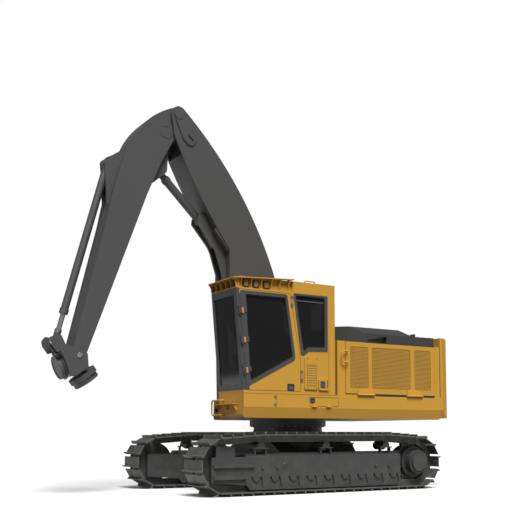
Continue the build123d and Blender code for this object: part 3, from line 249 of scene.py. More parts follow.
grey_nodes = ("track_frame_left", "track_frame_right", "idler_left", "idler_right", "final_drive_left",
              "final_drive_right", "main_deck")
under_nodes = ("carbody", "swing_bearing", "turntable")
both_sides = ((1, "left"), (-1, "right"))
beam_face_y = 1580
stud_places = ((1522, 475), (1220, 469), (-1006, 465), (-1315, 459))
stud_radius, stud_height = 24, 26
cover_x, cover_z = 1047, 512
cover_radius, cover_height, cover_sides = 55, 8, 24
hub_rings = (("flange", 265, 1500), ("cap", 203, 1655))
hub_bolt_count = 24
hub_bolt_radius, hub_bolt_height = 14, 12
bearing_ring = 728
bearing_bolt_count = 36
bolt_radius = 17
bolt_height = 15
bolt_sides = 6
bolt_bevel = 0.16
weld_distance = 0.00002
full_turn = 2 * math.pi
edge_size = 0.004
dust_top = (0.1, 1.3)
dust_colour = (0.1, 0.098, 0.09)
rubbed_grey = (0.16, 0.16, 0.155)
bolt_colour = (0.2, 0.21, 0.22)

ring_low, ring_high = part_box("swing_bearing")
turn_x = (ring_low.x + ring_high.x) / 2


def spot(x, y, z):
    """A point from millimetres ahead of the turning axis, left of it and above the ground."""
    return Vector((turn_x + x / 1000, y / 1000, z / 1000))


def finish_mesh(name, shape, body, finish):
    """Turns a bmesh into a finished piece that rides on a body."""
    mesh = bpy.data.meshes.new(name)
    bmesh.ops.remove_doubles(shape, verts=shape.verts, dist=weld_distance)
    bmesh.ops.recalc_face_normals(shape, faces=shape.faces)
    shape.to_mesh(mesh)
    shape.free()
    piece = put(name, mesh)
    piece.data.materials.append(finish.material)
    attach(piece, body)
    return piece


def drum(shape, place, axis, radius, height, sides, bevel):
    """Spins a short drum or hexagon with a bevelled top, standing on a point along an axis."""
    way = Vector(axis).normalized()
    out = way.orthogonal().normalized()
    profile = ((0, 0), (radius, 0), (radius, height - bevel), (radius - bevel, height), (0, height))
    line = [shape.verts.new(Vector(place) + (out * r + way * h) / 1000) for r, h in profile]
    edges = [shape.edges.new(pair) for pair in zip(line, line[1:])]
    bmesh.ops.spin(shape, geom=line + edges, cent=place, axis=way, angle=full_turn, steps=sides, use_merge=True,
                   use_duplicate=False)


def bolts(name, places, axis, body, finish, radius=bolt_radius, height=bolt_height, sides=bolt_sides):
    """A set of like bolt heads on one face, as one piece."""
    shape = bmesh.new()
    for place in places:
        drum(shape, place, axis, radius, height, sides, radius * bolt_bevel)
    return finish_mesh(name, shape, body, finish)


def ring_offsets(count, radius, first=0.0):
    """Points in metres round a circle of so many millimetres, the first so many steps on."""
    angles = [full_turn * (i + first) / count for i in range(count)]
    return [(radius / 1000 * math.cos(angle), radius / 1000 * math.sin(angle)) for angle in angles]


def grey_paint(name, colour, dusty):
    """Dark satin paint with fine peel, edges rubbed lighter, and dust towards the ground."""
    paint = Finish(name, Coat_Weight=0.1, Coat_Roughness=0.4)
    cloud = paint.noise(1.7, 4)
    peel = paint.noise(160, 2)
    rubbed = paint.edges(edge_size) * 0.5
    ground = (1 - paint.axis("Z").above(*dust_top)) * dusty * paint.noise(6, 5).above(0.35, 0.7)
    coat = paint.mix(cloud, colour, tuple(c * 1.08 for c in colour))
    coat = paint.mix(ground, coat, dust_colour)
    paint.set(Base_Color=paint.mix(rubbed, coat, rubbed_grey),
              Roughness=0.5 + cloud * 0.1 + ground * 0.2, Normal=paint.bump(peel, 0.0006, 0.3))
    return paint


frame_paint = grey_paint("frame_paint", (0.037, 0.038, 0.037), 0.35)
bolt_steel = Finish("bolt_steel", Metallic=0.6, Base_Color=bolt_colour)
bolt_steel.set(Roughness=0.35 + bolt_steel.noise(120, 3) * 0.2)
wear(frame_paint, grey_nodes)
under_paint = grey_paint("under_paint", (0.036, 0.038, 0.036), 0.3)
wear(under_paint, under_nodes)

for side, mark in both_sides:
    hub_low, hub_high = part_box("final_drive_" + mark)
    hub = (hub_low + hub_high) / 2
    outward = (0, side, 0)
    bolts("beam_studs_" + mark, [spot(x, beam_face_y * side, z) for x, z in stud_places], outward,
          "undercarriage", frame_paint, stud_radius, stud_height)
    bolts("beam_cover_" + mark, [spot(cover_x, beam_face_y * side, cover_z)], outward,
          "undercarriage", frame_paint, cover_radius, cover_height, cover_sides)
    for label, ring, face in hub_rings:
        places = [Vector((hub.x + ahead, side * face / 1000, hub.z + up))
                  for ahead, up in ring_offsets(hub_bolt_count, ring, 0.5)]
        bolts("hub_" + label + "_bolts_" + mark, places, outward, "undercarriage", frame_paint,
              hub_bolt_radius, hub_bolt_height)
turntable_low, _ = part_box("turntable")
places = [Vector((turn_x + ahead, left, turntable_low.z))
          for ahead, left in ring_offsets(bearing_bolt_count, bearing_ring)]
bolts("bearing_bolts", places, (0, 0, -1), "upperstructure", bolt_steel)

# ---------------------------------------------------------------------------------------------
# Upper body panels, counterweight and cab: bent plate in ochre yellow gloss paint.
# Hex bolts hold the nose of the left box and the step at its front.

yellow_nodes = ("skirt_left", "skirt_right", "skirt_hatch", "engine_house", "engine_door_left",
                "engine_door_right", "counterweight", "cab_shell", "cab_door", "visor", "vent_cover",
                "roof_handle", "front_rail")
face_y = 1550
cab_front_x = 1890
skirt_bolts = ((1238, 1747), (1238, 1609))
skirt_bolt_radius, skirt_bolt_height = 26, 16
step_bolts_y = (640, 790, 960, 1130, 1290)
step_bolt_z = 1660
step_bolt_radius, step_bolt_height = 13, 10
seam_width = 5
skirt_seam_x = 1212
skirt_seam_z = (1552, 1788)
cab_seams = ((65, "rear"), (-132, "house"))
cab_seam_z = (1795, 2830)
sill_seam_x = (-80, 1880)
sill_seam_z = 1789
sill_gaps = ((-1830, -990), (-2560, -2210))
sill_gap_z = (1797, 1838)
sill_gap_y = (1545.2, 1546)
corner_steps = 3
bevel_steps = 2
yellow_light, yellow_deep = (0.6, 0.318, 0.041), (0.555, 0.292, 0.034)
rubbed_yellow = (0.72, 0.43, 0.09)


def yellow_paint(name):
    """Ochre gloss paint, a little deeper in broad clouds, with fine peel and paler rubbed edges."""
    paint = Finish(name, Coat_Weight=0.05, Coat_Roughness=0.3)
    cloud = paint.noise(0.9, 3)
    peel = paint.noise(140, 2)
    rubbed = paint.edges(edge_size) * 0.35
    coat = paint.mix(cloud, yellow_deep, yellow_light)
    paint.set(Base_Color=paint.mix(rubbed, coat, rubbed_yellow), Specular_IOR_Level=0.35,
              Roughness=0.45 + cloud * 0.1, Normal=paint.bump(peel, 0.0005, 0.25))
    return paint


def slab(name, outline, low_y, high_y, body, slot_name, finish, bevel=3):
    """A plate cut to an outline in the side view, between two distances from the middle plane.
    The edges of its outer face are bevelled."""
    shape = bmesh.new()
    near = [shape.verts.new(spot(x, low_y, z)) for x, z in outline]
    far = [shape.verts.new(spot(x, high_y, z)) for x, z in outline]
    shape.faces.new(near)
    shape.faces.new(far)
    for i in range(len(outline)):
        k = (i + 1) % len(outline)
        shape.faces.new((near[i], near[k], far[k], far[i]))
    if bevel:
        middle = (abs(low_y) + abs(high_y)) / 2000
        rim = [edge for edge in shape.edges if all(abs(vert.co.y) > middle for vert in edge.verts)]
        bmesh.ops.bevel(shape, geom=rim, offset=bevel / 1000, segments=bevel_steps, profile=0.5, affect="EDGES",
                        material=-1)
    return finish_mesh(name, shape, body, finish)


def seam(name, outline, low_y, high_y, body="upperstructure"):
    """A thin black plate of painted shade, where a gap or slot shows dark."""
    return slab(name, outline, low_y, high_y, body, "dark_steel", painted_gap_shade, 0)


def box_outline(low_x, high_x, low_z, high_z, corner=0):
    """A rectangle's outline, its corners cut round in short steps."""
    if not corner:
        return [(low_x, low_z), (high_x, low_z), (high_x, high_z), (low_x, high_z)]
    points = []
    for centre_x, centre_z, first in ((high_x - corner, low_z + corner, 270), (high_x - corner, high_z - corner, 0),
                                      (low_x + corner, high_z - corner, 90), (low_x + corner, low_z + corner, 180)):
        for step in range(corner_steps + 1):
            angle = math.radians(first + 90 / corner_steps * step)
            points.append((centre_x + corner * math.cos(angle), centre_z + corner * math.sin(angle)))
    return points


body_paint = yellow_paint("body_paint")
wear(body_paint, yellow_nodes)
# Near-black finish for plates that paint the shade in gaps, slots and behind the vent sheet.
painted_gap_shade = Finish("painted_gap_shade", Base_Color=(0.012, 0.012, 0.012))
painted_gap_shade.set(Roughness=0.7 + painted_gap_shade.noise(60, 2) * 0.2)
bolts("skirt_bolts", [spot(x, face_y, z) for x, z in skirt_bolts], (0, 1, 0), "upperstructure",
      bolt_steel, skirt_bolt_radius, skirt_bolt_height)
bolts("step_bolts", [spot(cab_front_x, y, step_bolt_z) for y in step_bolts_y], (1, 0, 0), "upperstructure",
      bolt_steel, step_bolt_radius, step_bolt_height)
# Painted shade in the gaps along the skirt, beside the cab and under the engine doors.
seam("skirt_seam", box_outline(skirt_seam_x, skirt_seam_x + seam_width, *skirt_seam_z), face_y - 1, face_y + 1.5)
for place, label in cab_seams:
    seam("cab_seam_" + label, box_outline(place, place + seam_width, *cab_seam_z), face_y - 8, face_y + 1.2)
for rear, front in sill_gaps:
    for side, mark in both_sides:
        inner, outer = sill_gap_y
        seam("sill_gap_{}_{}".format(mark, -rear), box_outline(rear, front, *sill_gap_z), side * inner, side * outer)
seam("sill_seam", box_outline(*sill_seam_x, sill_seam_z, sill_seam_z + seam_width), face_y - 1, face_y + 1.2)

# ---------------------------------------------------------------------------------------------
# Compartment hatch: a dark paddle latch in a sunk bezel near its front edge.
# The cab door's latch, further down, is made by the same function.

hatch_latch_box = (384, 484, 1640, 1734)
bezel_rim = 12
bezel_depth = 9
bezel_corner, bezel_inner_corner = 10, 6
latch_back_depth = 2
paddle_depth = 7
paddle_corner = 5
paddle_bevel = 2
latch_dark, latch_light = (0.02, 0.024, 0.036), (0.035, 0.04, 0.055)

latch_black = Finish("latch_black", Metallic=0.1)
latch_grain = latch_black.noise(260, 3)
latch_black.set(Base_Color=latch_black.mix(latch_grain, latch_dark, latch_light), Roughness=0.45,
                Normal=latch_black.bump(latch_grain, 0.0004, 0.4))
paddle_grey = grey_paint("paddle_grey", (0.09, 0.092, 0.098), 0)


def ring_plate(name, outer, inner, low_y, high_y, body, slot_name, finish):
    """A flat frame between two outlines with the same number of points."""
    shape = bmesh.new()
    loops = [[shape.verts.new(spot(x, y, z)) for x, z in outline] for y in (low_y, high_y)
             for outline in (outer, inner)]
    outer_low, inner_low, outer_high, inner_high = loops
    count = len(outer)
    for i in range(count):
        k = (i + 1) % count
        shape.faces.new((outer_low[i], outer_low[k], inner_low[k], inner_low[i]))
        shape.faces.new((outer_high[i], outer_high[k], inner_high[k], inner_high[i]))
        shape.faces.new((outer_low[i], outer_low[k], outer_high[k], outer_high[i]))
        shape.faces.new((inner_low[i], inner_low[k], inner_high[k], inner_high[i]))
    return finish_mesh(name, shape, body, finish)


def paddle_latch(name, low_x, high_x, low_z, high_z, body, face=face_y):
    """A dark bezel with a grey paddle in it."""
    rim = bezel_rim
    inside = (low_x + rim, high_x - rim, low_z + rim, high_z - rim)
    ring_plate(name + "_bezel", box_outline(low_x, high_x, low_z, high_z, bezel_corner),
               box_outline(*inside, bezel_inner_corner), face, face + bezel_depth, body, "dark_steel", latch_black)
    slab(name + "_back", box_outline(*inside), face, face + latch_back_depth, body, "dark_steel", latch_black, 0)
    slab(name + "_paddle", box_outline(low_x + 2 * rim, high_x - 3 * rim, low_z + 2 * rim, high_z - 4 * rim,
                                       paddle_corner), face + latch_back_depth, face + paddle_depth, body,
         "dark_steel", paddle_grey, paddle_bevel)


paddle_latch("hatch_latch", *hatch_latch_box, "skirt_hatch")

# ---------------------------------------------------------------------------------------------
# Engine doors: folded yellow frames over perforated sheet, with a bent pull bar at the front.
# The sheet is punched in straight rows, and is fixed inside the frame's lip.

grille_openings = ((-2467, -2033), (-1932, -958), (-875, -434))
grille_low_z = 1940
grille_high_z = 2745
grille_corner = 55
sheet_y = 1546
sheet_margin = 2
sheet_thick = 1
shade_depth = (1.6, 1.3)
hole_pitch = 26
hole_share = 0.38
hole_sides = 8
pull_x = (-352, -205)
pull_z = (2425, 2645)
pull_reach = 52
pull_radius = 13
pull_drop = 12
pull_bend = 34
bar_sides = 10
bend_steps = 5

sheet_paint = yellow_paint("sheet_paint")
# The dark plates behind the punched sheets are painted shade: they make the holes read dark, as if the space behind
# lay in shadow.
painted_shade_sheet = Finish("painted_shade_sheet", Base_Color=(0.05, 0.033, 0.012))
painted_shade_sheet.set(Roughness=0.85 + painted_shade_sheet.noise(30, 2) * 0.1)


def inside_round(x, z, low_x, high_x, low_z, high_z, corner):
    """Whether a point lies inside a rectangle with round corners."""
    over_x = max(low_x + corner - x, 0, x - high_x + corner)
    over_z = max(low_z + corner - z, 0, z - high_z + corner)
    return math.hypot(over_x, over_z) <= corner


def punched_sheet(name, low_x, high_x, low_z, high_z, corner, face, side, pitch, share, body, finish):
    """A thin sheet punched with round holes: one cell round each hole, each with the hole's wall."""
    shape = bmesh.new()
    columns = round((high_x - low_x) / pitch)
    rows = round((high_z - low_z) / pitch)
    step_x = (high_x - low_x) / columns
    step_z = (high_z - low_z) / rows
    angles = [math.radians(360 / hole_sides * (i + 1)) for i in range(hole_sides)]
    for row in range(rows):
        for column in range(columns):
            x = low_x + (column + 0.5) * step_x
            z = low_z + (row + 0.5) * step_z
            if not inside_round(x, z, low_x, high_x, low_z, high_z, corner):
                continue
            rim, hole, deep = [], [], []
            for angle in angles:
                ahead, up = step_x * math.cos(angle), step_z * math.sin(angle)
                reach = 0.5 / max(abs(math.cos(angle)), abs(math.sin(angle)))
                for ring, part, depth in ((rim, reach, 0), (hole, share, 0), (deep, share, sheet_thick)):
                    ring.append(shape.verts.new(spot(x + part * ahead, side * (face - depth), z + part * up)))
            for i in range(hole_sides):
                k = (i + 1) % hole_sides
                shape.faces.new((rim[i], rim[k], hole[k], hole[i]))
                shape.faces.new((hole[i], hole[k], deep[k], deep[i]))
    return finish_mesh(name, shape, body, finish)


def smooth_sides(piece):
    """Shades a piece's four-cornered faces smooth and leaves its ends flat."""
    for face in piece.data.polygons:
        face.use_smooth = len(face.vertices) == 4


def bent_bar(name, points, radius, body, finish):
    """A round bar bent through points in one smooth line, its bends cut into short chords."""
    shape = bmesh.new()
    rings = []
    for i, point in enumerate(points):
        before = points[max(i - 1, 0)]
        after = points[min(i + 1, len(points) - 1)]
        way = (Vector(after) - Vector(before)).normalized()
        if rings:
            across = (across - way * across.dot(way)).normalized()
        else:
            across = way.orthogonal().normalized()
        over = way.cross(across)
        rings.append([])
        for k in range(bar_sides):
            angle = full_turn * k / bar_sides
            out = across * math.cos(angle) + over * math.sin(angle)
            rings[-1].append(shape.verts.new(Vector(point) + radius / 1000 * out))
    for first, second in zip(rings, rings[1:]):
        for k in range(bar_sides):
            m = (k + 1) % bar_sides
            shape.faces.new((first[k], first[m], second[m], second[k]))
    shape.faces.new(rings[0])
    shape.faces.new(rings[-1])
    piece = finish_mesh(name, shape, body, finish)
    smooth_sides(piece)
    return piece


def rounded(corners, radius):
    """The points of a line through corners, with each corner replaced by a bend."""
    points = [Vector(corners[0])]
    for before, corner, after in zip(corners, corners[1:], corners[2:]):
        corner = Vector(corner)
        start = corner + (Vector(before) - corner).normalized() * radius / 1000
        end = corner + (Vector(after) - corner).normalized() * radius / 1000
        for i in range(bend_steps + 1):
            share = i / bend_steps
            points.append(start * (1 - share) ** 2 + corner * 2 * share * (1 - share) + end * share ** 2)
    return points + [Vector(corners[-1])]


for side, mark in both_sides:
    door = "engine_door_" + mark
    for rear, front in grille_openings:
        label = "grille_{}_{}".format(mark, -rear)
        sheet_box = (rear + sheet_margin, front - sheet_margin, grille_low_z + sheet_margin,
                     grille_high_z - sheet_margin)
        punched_sheet(label, *sheet_box, grille_corner, sheet_y, side, hole_pitch, hole_share, door, sheet_paint)
        # A plate of painted shade sits just behind each sheet.
        deep, shallow = shade_depth
        slab(label + "_shade", box_outline(*sheet_box, grille_corner), side * (sheet_y - deep),
             side * (sheet_y - shallow), door, "dark_steel", painted_shade_sheet, 0)
    near, far = pull_x
    low, high = pull_z
    bar_y = side * (face_y + pull_reach)
    corners = [spot(near, side * face_y, high), spot(near, bar_y, high), spot(far, bar_y, high - pull_drop),
               spot(far, bar_y, low + pull_drop), spot(near, bar_y, low), spot(near, side * face_y, low)]
    bent_bar("door_pull_" + mark, rounded(corners, pull_bend), pull_radius, door, body_paint)

# ---------------------------------------------------------------------------------------------
# Hood over the engine: black painted sheet with a ribbed filler cap.
# Hold-down bolts stand near its rear corners.

hood_bolt_x = (-2200, -2520)
hood_bolt_y = 1470
hood_bolt_z = 3025
hood_bolt_radius, hood_bolt_height = 12, 9
cap_place = (-2240, 1270, 3030)
cap_rib_count = 20
cap_rib_ring = 50
cap_rib_radius, cap_rib_height, cap_rib_bevel = 5, 68, 1.5

hood_paint = grey_paint("hood_paint", (0.026, 0.028, 0.028), 0)
wear(hood_paint, ("hood",))
for side, mark in both_sides:
    bolts("hood_bolts_" + mark, [spot(x, side * hood_bolt_y, hood_bolt_z) for x in hood_bolt_x], (0, 0, 1),
          "upperstructure", bolt_steel, hood_bolt_radius, hood_bolt_height)
shape = bmesh.new()
for ahead, left in ring_offsets(cap_rib_count, cap_rib_ring):
    drum(shape, spot(*cap_place) + Vector((ahead, left, 0)), (0, 0, 1), cap_rib_radius, cap_rib_height, bolt_sides,
         cap_rib_bevel)
finish_mesh("filler_cap_ribs", shape, "upperstructure", hood_paint)

# ---------------------------------------------------------------------------------------------
# Cab frames and glass: dark painted window frames, and tinted safety glass set in rubber.
# The door hangs on three hinges with yellow covers, and shuts on two grey strikers.

door_opening = ((1762, 2003), (1871, 3560), (1026, 3560), (866, 2467))
rear_opening = ((635, 2560), (520, 2665), (150, 2675), (150, 3625), (815, 3625))
seal_width = 14
seal_y = (1525.5, 1553)
front_foot_z = 1790
front_lean = 170 / 1870
door_gap_behind = (58, 47)
door_gap_z = (1850, 3660)
door_gap_y = (1540, 1550.8)
door_edge_behind = (124, 60)
door_edge_z = (1860, 3560)
door_edge_y = (1550.2, 1553.5)
rail_box = (160, 800, 3520, 3538)
rail_y = (1526, 1532)
hinge_cover_z = (2197, 2733, 3258)
hinge_cover_behind = (71, 107)
hinge_cover_half = 50
hinge_cover_y = (1571.5, 1583)
striker_places = ((672, 2016, 2238), (886, 3395, 3603))
striker_depth, striker_cover_depth = 14, 20
striker_cover_x = (-8, 16)
striker_cover_inset = 60
door_latch_box = (836, 985, 1857, 1980)

dark_paint = grey_paint("dark_paint", (0.046, 0.048, 0.051), 0)
wear(dark_paint, ("cab_front_frame", "window_frames", "door_frame"))
glass = Finish("tinted_glass", Base_Color=(0.012, 0.0125, 0.0122), IOR=1.45)
glass.set(Roughness=0.05 + glass.noise(3, 2) * 0.03, Alpha=0.72)
wear(glass, ("cab_glass", "door_glass"))
seal_rubber = Finish("seal_rubber", Base_Color=(0.015, 0.015, 0.016))
seal_rubber.set(Roughness=0.75 + seal_rubber.noise(90, 2) * 0.15)


def shrunk(outline, distance):
    """An outline with each corner moved in by a distance along both of its edges."""
    moved = []
    for i, corner in enumerate(outline):
        before = Vector(outline[i - 1])
        after = Vector(outline[(i + 1) % len(outline)])
        here = Vector(corner)
        way_in = (here - before).normalized()
        way_out = (after - here).normalized()
        normal_in = Vector((-way_in.y, way_in.x))
        normal_out = Vector((-way_out.y, way_out.x))
        middle = (normal_in + normal_out).normalized()
        moved.append(tuple(here + middle * distance / max(middle.dot(normal_in), 0.3)))
    return moved


def leaning(behind, high_low):
    """The outline of a strip along the leaning front of the cab, between two distances behind it."""
    near, far = behind
    low, high = high_low
    return [(cab_front_x - back + front_lean * (z - front_foot_z), z)
            for back, z in ((near, low), (far, low), (far, high), (near, high))]


# Painted shade in the gap ahead of the cab door.
seam("door_gap_front", leaning(door_gap_behind, door_gap_z), *door_gap_y)
ring_plate("door_seal", door_opening, shrunk(door_opening, seal_width), *seal_y, "cab_door", "dark_steel",
           seal_rubber)
ring_plate("rear_window_seal", rear_opening, shrunk(rear_opening[::-1], seal_width)[::-1], *seal_y,
           "upperstructure", "dark_steel", seal_rubber)
slab("door_edge", leaning(door_edge_behind, door_edge_z), *door_edge_y, "cab_door", "boom_grey", dark_paint, 1)
slab("rear_window_rail", box_outline(*rail_box), *rail_y, "upperstructure", "boom_grey", paddle_grey, 2)
for height in hinge_cover_z:
    slab("hinge_cover_{}".format(height),
         leaning(hinge_cover_behind, (height - hinge_cover_half, height + hinge_cover_half)), *hinge_cover_y,
         "cab_door", "yellow_paint", body_paint)
for x, low, high in striker_places:
    slab("striker_{}".format(low), [(x - 26, low + 20), (x + 4, low), (x + 26, low + 12), (x + 26, high),
                                    (x - 8, high), (x - 26, high - 25)], face_y, face_y + striker_depth,
         "upperstructure", "boom_grey", paddle_grey)
    near, far = striker_cover_x
    slab("striker_cover_{}".format(low),
         box_outline(x + near, x + far, low + striker_cover_inset, high - striker_cover_inset),
         face_y + striker_depth, face_y + striker_cover_depth, "upperstructure", "yellow_paint", body_paint, 2)
paddle_latch("door_latch", *door_latch_box, "cab_door")

# ---------------------------------------------------------------------------------------------
# Vent plate, release box and roof: punched yellow plate behind the door, held by four bolts.
# The release box has a dark finned grip and, beside it, a slot painted as a black plate of shade.

vent_sheet_box = (347, 575, 1944, 2346)
vent_sheet_corner = 1
vent_sheet_y = 1574
vent_shade_box = (346, 576, 1943, 2347)
vent_shade_y = (1572.2, 1572.6)
vent_hole_pitch = 44
vent_hole_share = 0.29
vent_bolt_places = ((352, 2466), (560, 2466), (352, 1918), (560, 1918))
vent_bolt_y = 1575
vent_bolt_radius, vent_bolt_height = 12, 8
release_face_y = 1580
grip_box = (165, 272, 1925, 2048)
grip_corner = 10
grip_depth = 6
fin_count = 3
fin_x = (182, 200)
fin_step = 28
fin_z = (1938, 2036)
release_slot_box = (106, 122, 1920, 2070)
roof_bolt_x = (860, 760)
roof_bolt_y, roof_bolt_z = 1490, 3880
roof_bolt_radius, roof_bolt_height = 16, 16

punched_sheet("vent_sheet", *vent_sheet_box, vent_sheet_corner, vent_sheet_y, 1, vent_hole_pitch, vent_hole_share,
              "upperstructure", body_paint)
# A black plate just behind the vent sheet paints the shade seen through its holes.
seam("vent_shade", box_outline(*vent_shade_box), *vent_shade_y)
bolts("vent_bolts", [spot(x, vent_bolt_y, z) for x, z in vent_bolt_places], (0, 1, 0), "upperstructure",
      bolt_steel, vent_bolt_radius, vent_bolt_height)
slab("release_grip", box_outline(*grip_box, grip_corner), release_face_y, release_face_y + grip_depth,
     "upperstructure", "dark_steel", latch_black)
for i in range(fin_count):
    rear, front = (x + fin_step * i for x in fin_x)
    slab("release_fin_{}".format(i), box_outline(rear, front, *fin_z), release_face_y + grip_depth,
         release_face_y + 2 * grip_depth, "upperstructure", "dark_steel", paddle_grey, 2)
# The slot beside the grip is a black plate of painted shade.
seam("release_slot", box_outline(*release_slot_box), release_face_y, release_face_y + 1.5)
bolts("roof_bolts", [spot(x, roof_bolt_y, roof_bolt_z) for x in roof_bolt_x], (0, 0, 1), "upperstructure",
      body_paint, roof_bolt_radius, roof_bolt_height)

# ---------------------------------------------------------------------------------------------
# Work lamps: black housings with fluted lenses, whose amber is a painted reflection of a warm reflector.
# Five look ahead under the visor's front and three look left.

lamp_front_y = (695, 885, 1075, 1265, 1455)
lamp_front_x = 2018
lamp_front_size = (0.107, 0.087, 1, 1)
lamp_side_x = (1855, 1650, 1430)
lamp_side_y = 1551
lamp_side_size = (0.112, 0.107, 1, 1)
lamp_mid_z = 3759.5
lens_squares = 6
# Lens colours: a painted reflection of the warm reflector behind the glass, in deeper and brighter bands along the
# flutes.
painted_reflection_deep, painted_reflection_bright = (0.24, 0.125, 0.02), (0.34, 0.18, 0.03)
flute_scale = 40.0

lamp_black = Finish("lamp_black")
lamp_black.set(Base_Color=(0.012, 0.014, 0.02), Roughness=0.4 + lamp_black.noise(80, 2) * 0.2)
wear(lamp_black, ("work_lamps",))
lens = Finish("lamp_lens", Coat_Weight=0.3, Coat_Roughness=0.1, Specular_IOR_Level=0.3)
fluting = lens.node("ShaderNodeTexWave", {"wave_type": "BANDS", "bands_direction": "Z"},
                    {"Vector": lens.coordinates, "Scale": flute_scale, "Distortion": 0.0})
lens.set(Base_Color=lens.mix(fluting, painted_reflection_deep, painted_reflection_bright), Roughness=0.25,
         Normal=lens.bump(fluting, 0.001, 0.6))
lens_places = [(spot(lamp_front_x, y, lamp_mid_z), "Y", lamp_front_size) for y in lamp_front_y]
lens_places += [(spot(x, lamp_side_y, lamp_mid_z), "X", lamp_side_size) for x in lamp_side_x]
shape = bmesh.new()
for place, axis, size in lens_places:
    bmesh.ops.create_grid(shape, x_segments=lens_squares, y_segments=lens_squares, size=0.5,
                          matrix=Matrix.Translation(place) @ Matrix.Rotation(math.radians(90), 4, axis)
                          @ Matrix.Diagonal(size))
finish_mesh("lamp_lenses", shape, "upperstructure", lens)

# ---------------------------------------------------------------------------------------------
# Cab inside: a padded seat on its base, consoles with control sticks, pedals and a display.
# The engine block, seen with its doors open, wears dark cast iron.

cushion_cuts = 13
cushion_crown = 0.035
cushion_pull = 0.03
cushion_edge = 0.55
channel_depth = 0.16
channel_half = 0.05
seat_base_outline = [(420, 1852), (900, 1852), (860, 1990), (860, 2150), (460, 2150), (460, 1990)]
seat_base_y = (870, 1280)
stick_places = ((755, "right"), (1385, "left"))
stick_line = ((1080, 2420), (1100, 2520), (1090, 2600))
stick_bend = 40
stick_radius = 13
grip_foot = (1095, 2570)
grip_way = (-0.1, 0, 1)
grip_radius, grip_height, grip_sides, grip_bevel = 28, 110, 12, 8
display_outline = [(1560, 2260), (1600, 2250), (1690, 2520), (1650, 2530)]
display_y = (700, 880)
foot_panel_outline = [(1560, 1852), (1760, 1852), (1680, 2380), (1640, 2390)]
foot_panel_y = (980, 1240)
pedal_outline = [(1400, 1870), (1415, 1856), (1550, 1990), (1538, 2003)]
pedal_places = ((1000, "right"), (1160, "left"))
pedal_half = 50

cloth = Finish("seat_cloth", Sheen_Weight=0.2)
weave = cloth.noise(700, 2)
cloth.set(Base_Color=cloth.mix(weave, (0.12, 0.12, 0.125), (0.17, 0.17, 0.18)), Roughness=0.95,
          Normal=cloth.bump(weave, 0.001, 0.5))
plastic = Finish("console_plastic")
pebble = plastic.noise(420, 2)
plastic.set(Base_Color=plastic.mix(pebble, (0.30, 0.30, 0.31), (0.36, 0.36, 0.37)), Roughness=0.62,
            Normal=plastic.bump(pebble, 0.0006, 0.5))
wear(plastic, ("consoles",))
engine_iron = Finish("engine_iron", Metallic=0.2)
casting = engine_iron.noise(60, 5)
engine_iron.set(Base_Color=engine_iron.mix(casting, (0.04, 0.04, 0.042), (0.09, 0.09, 0.09)), Roughness=0.7,
                Normal=engine_iron.bump(casting, 0.002, 0.5))
wear(engine_iron, ("engine_block",))


def cushion(name, place, length, width, thick, tilt, channels):
    """A crowned cushion that pulls in between its corners, with sewn channels across it."""
    shape = bmesh.new()
    bmesh.ops.create_cube(shape, size=1.0)
    bmesh.ops.subdivide_edges(shape, edges=shape.edges[:], cuts=cushion_cuts, use_grid_fill=True)
    for vert in shape.verts:
        u, v, w = vert.co * 2
        edge = max(abs(u), abs(v))
        soft = math.sqrt(max(1 - edge ** 4, 0))
        pull = 1 - cushion_pull * (1 - min(u * u, v * v))
        rise = w * (cushion_edge + (1 - cushion_edge) * soft)
        if w > 0:
            rise += cushion_crown / thick * 2 * (1 - u * u) * (1 - v * v)
            for channel in channels:
                rise -= channel_depth * math.exp(-((u - channel) / channel_half) ** 2) * (1 - v ** 6)
        vert.co = (u * pull * length / 2, v * pull * width / 2, rise * thick / 2)
    bmesh.ops.transform(shape, matrix=Matrix.Translation(place) @ Matrix.Rotation(math.radians(tilt), 4, "Y"),
                        verts=shape.verts)
    piece = finish_mesh(name, shape, "upperstructure", cloth)
    for face in piece.data.polygons:
        face.use_smooth = True
    return piece


seat_low, seat_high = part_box("seat")
seat_y = (seat_low.y + seat_high.y) / 2
seat_pan = cushion("seat_cushion", Vector((seat_low.x + 0.42, seat_y, 2.225)), 0.54, 0.46, 0.13, -3, (-0.35, 0.3))
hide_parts("seat")
cushion("seat_back", Vector((seat_low.x + 0.13, seat_y, 2.60)), 0.64, 0.45, 0.12, 78, (-0.3, 0.25))
cushion("head_rest", Vector((seat_low.x + 0.075, seat_y, 3.0)), 0.16, 0.28, 0.09, 80, ())
slab("seat_base", seat_base_outline, *seat_base_y, "upperstructure", "grey_plastic", plastic, 12)
for y, mark in stick_places:
    bent_bar("control_stick_" + mark, rounded([spot(x, y, z) for x, z in stick_line], stick_bend), stick_radius,
             "upperstructure", seal_rubber)
    shape = bmesh.new()
    drum(shape, spot(grip_foot[0], y, grip_foot[1]), grip_way, grip_radius, grip_height, grip_sides, grip_bevel)
    finish_mesh("control_grip_" + mark, shape, "upperstructure", seal_rubber)
slab("display", display_outline, *display_y, "upperstructure", "grey_plastic", plastic, 6)
slab("foot_panel", foot_panel_outline, *foot_panel_y, "upperstructure", "grey_plastic", plastic, 8)
for y, mark in pedal_places:
    slab("pedal_" + mark, pedal_outline, y - pedal_half, y + pedal_half, "upperstructure", "dark_steel", bolt_steel)

# ---------------------------------------------------------------------------------------------
# Boom, stick, yoke and cylinders: welded box beams in dark grey satin paint, chromed rods.
# Bright caps end the wrist pin, and a dark gland collar grips each rod's end.

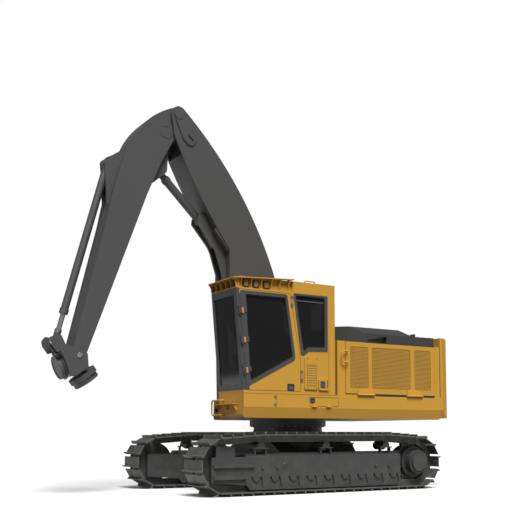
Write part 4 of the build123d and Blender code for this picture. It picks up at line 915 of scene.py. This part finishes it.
wrist_x, wrist_z = 4450, 2440
wrist_cap_radius, wrist_cap_height, wrist_cap_sides = 44, 22, 20
wrist_bolts_x = (70, -70)
wrist_bolt_radius, wrist_bolt_height = 12, 10
boom_foot = (400, 266, 2050)
foot_bolt_ring = 38
foot_bolt_angles = (0.5, 2.6, 4.7)
foot_bolt_radius, foot_bolt_height = 11, 9
tool_rod_line = (spot(3930, 0, 5980), spot(4800, 0, 2690))
stick_rod_line = (spot(2030, 0, 5185), spot(2890, 0, 6020))
collars = (("tool", tool_rod_line, 62, 215), ("stick", stick_rod_line, 66, 185))
collar_end = 78
collar_sides = 28
collar_bevel = 6

boom_paint = grey_paint("boom_paint", (0.056, 0.057, 0.056), 0)
wear(boom_paint, ("boom", "stick", "yoke", "yoke_flange", "rotator", "hoist_barrels", "stick_barrel",
                  "tool_barrel"))
rod_chrome = Finish("rod_chrome", Metallic=0.9, Base_Color=(0.55, 0.55, 0.53))
rod_chrome.set(Roughness=0.16 + rod_chrome.noise(40, 3, stretch=(1, 1, 0.1)) * 0.12)
wear(rod_chrome, ("hoist_rods", "stick_rod", "tool_rod"))
_, yoke_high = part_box("yoke")
for side, mark in both_sides:
    wrist_y = side * yoke_high.y * 1000
    outward = (0, side, 0)
    bolts("wrist_pin_cap_" + mark, [spot(wrist_x, wrist_y, wrist_z)], outward, "yoke", rod_chrome,
          wrist_cap_radius, wrist_cap_height, wrist_cap_sides)
    bolts("wrist_pin_bolts_" + mark, [spot(wrist_x + ahead, wrist_y, wrist_z) for ahead in wrist_bolts_x], outward,
          "yoke", bolt_steel, wrist_bolt_radius, wrist_bolt_height)
    foot_x, foot_y, foot_z = boom_foot
    bolts("boom_foot_bolts_" + mark, [spot(foot_x + foot_bolt_ring * math.cos(angle), side * foot_y,
                                           foot_z + foot_bolt_ring * math.sin(angle)) for angle in foot_bolt_angles],
          outward, "upperstructure", bolt_steel, foot_bolt_radius, foot_bolt_height)
for label, (start, end), radius, back in collars:
    way = (end - start).normalized()
    reach = (end - start).length * 1000
    shape = bmesh.new()
    drum(shape, start + way * (reach - back) / 1000, way, radius, back - collar_end, collar_sides, collar_bevel)
    smooth_sides(finish_mesh(label + "_rod_collar", shape, label + "_rod", boom_paint))
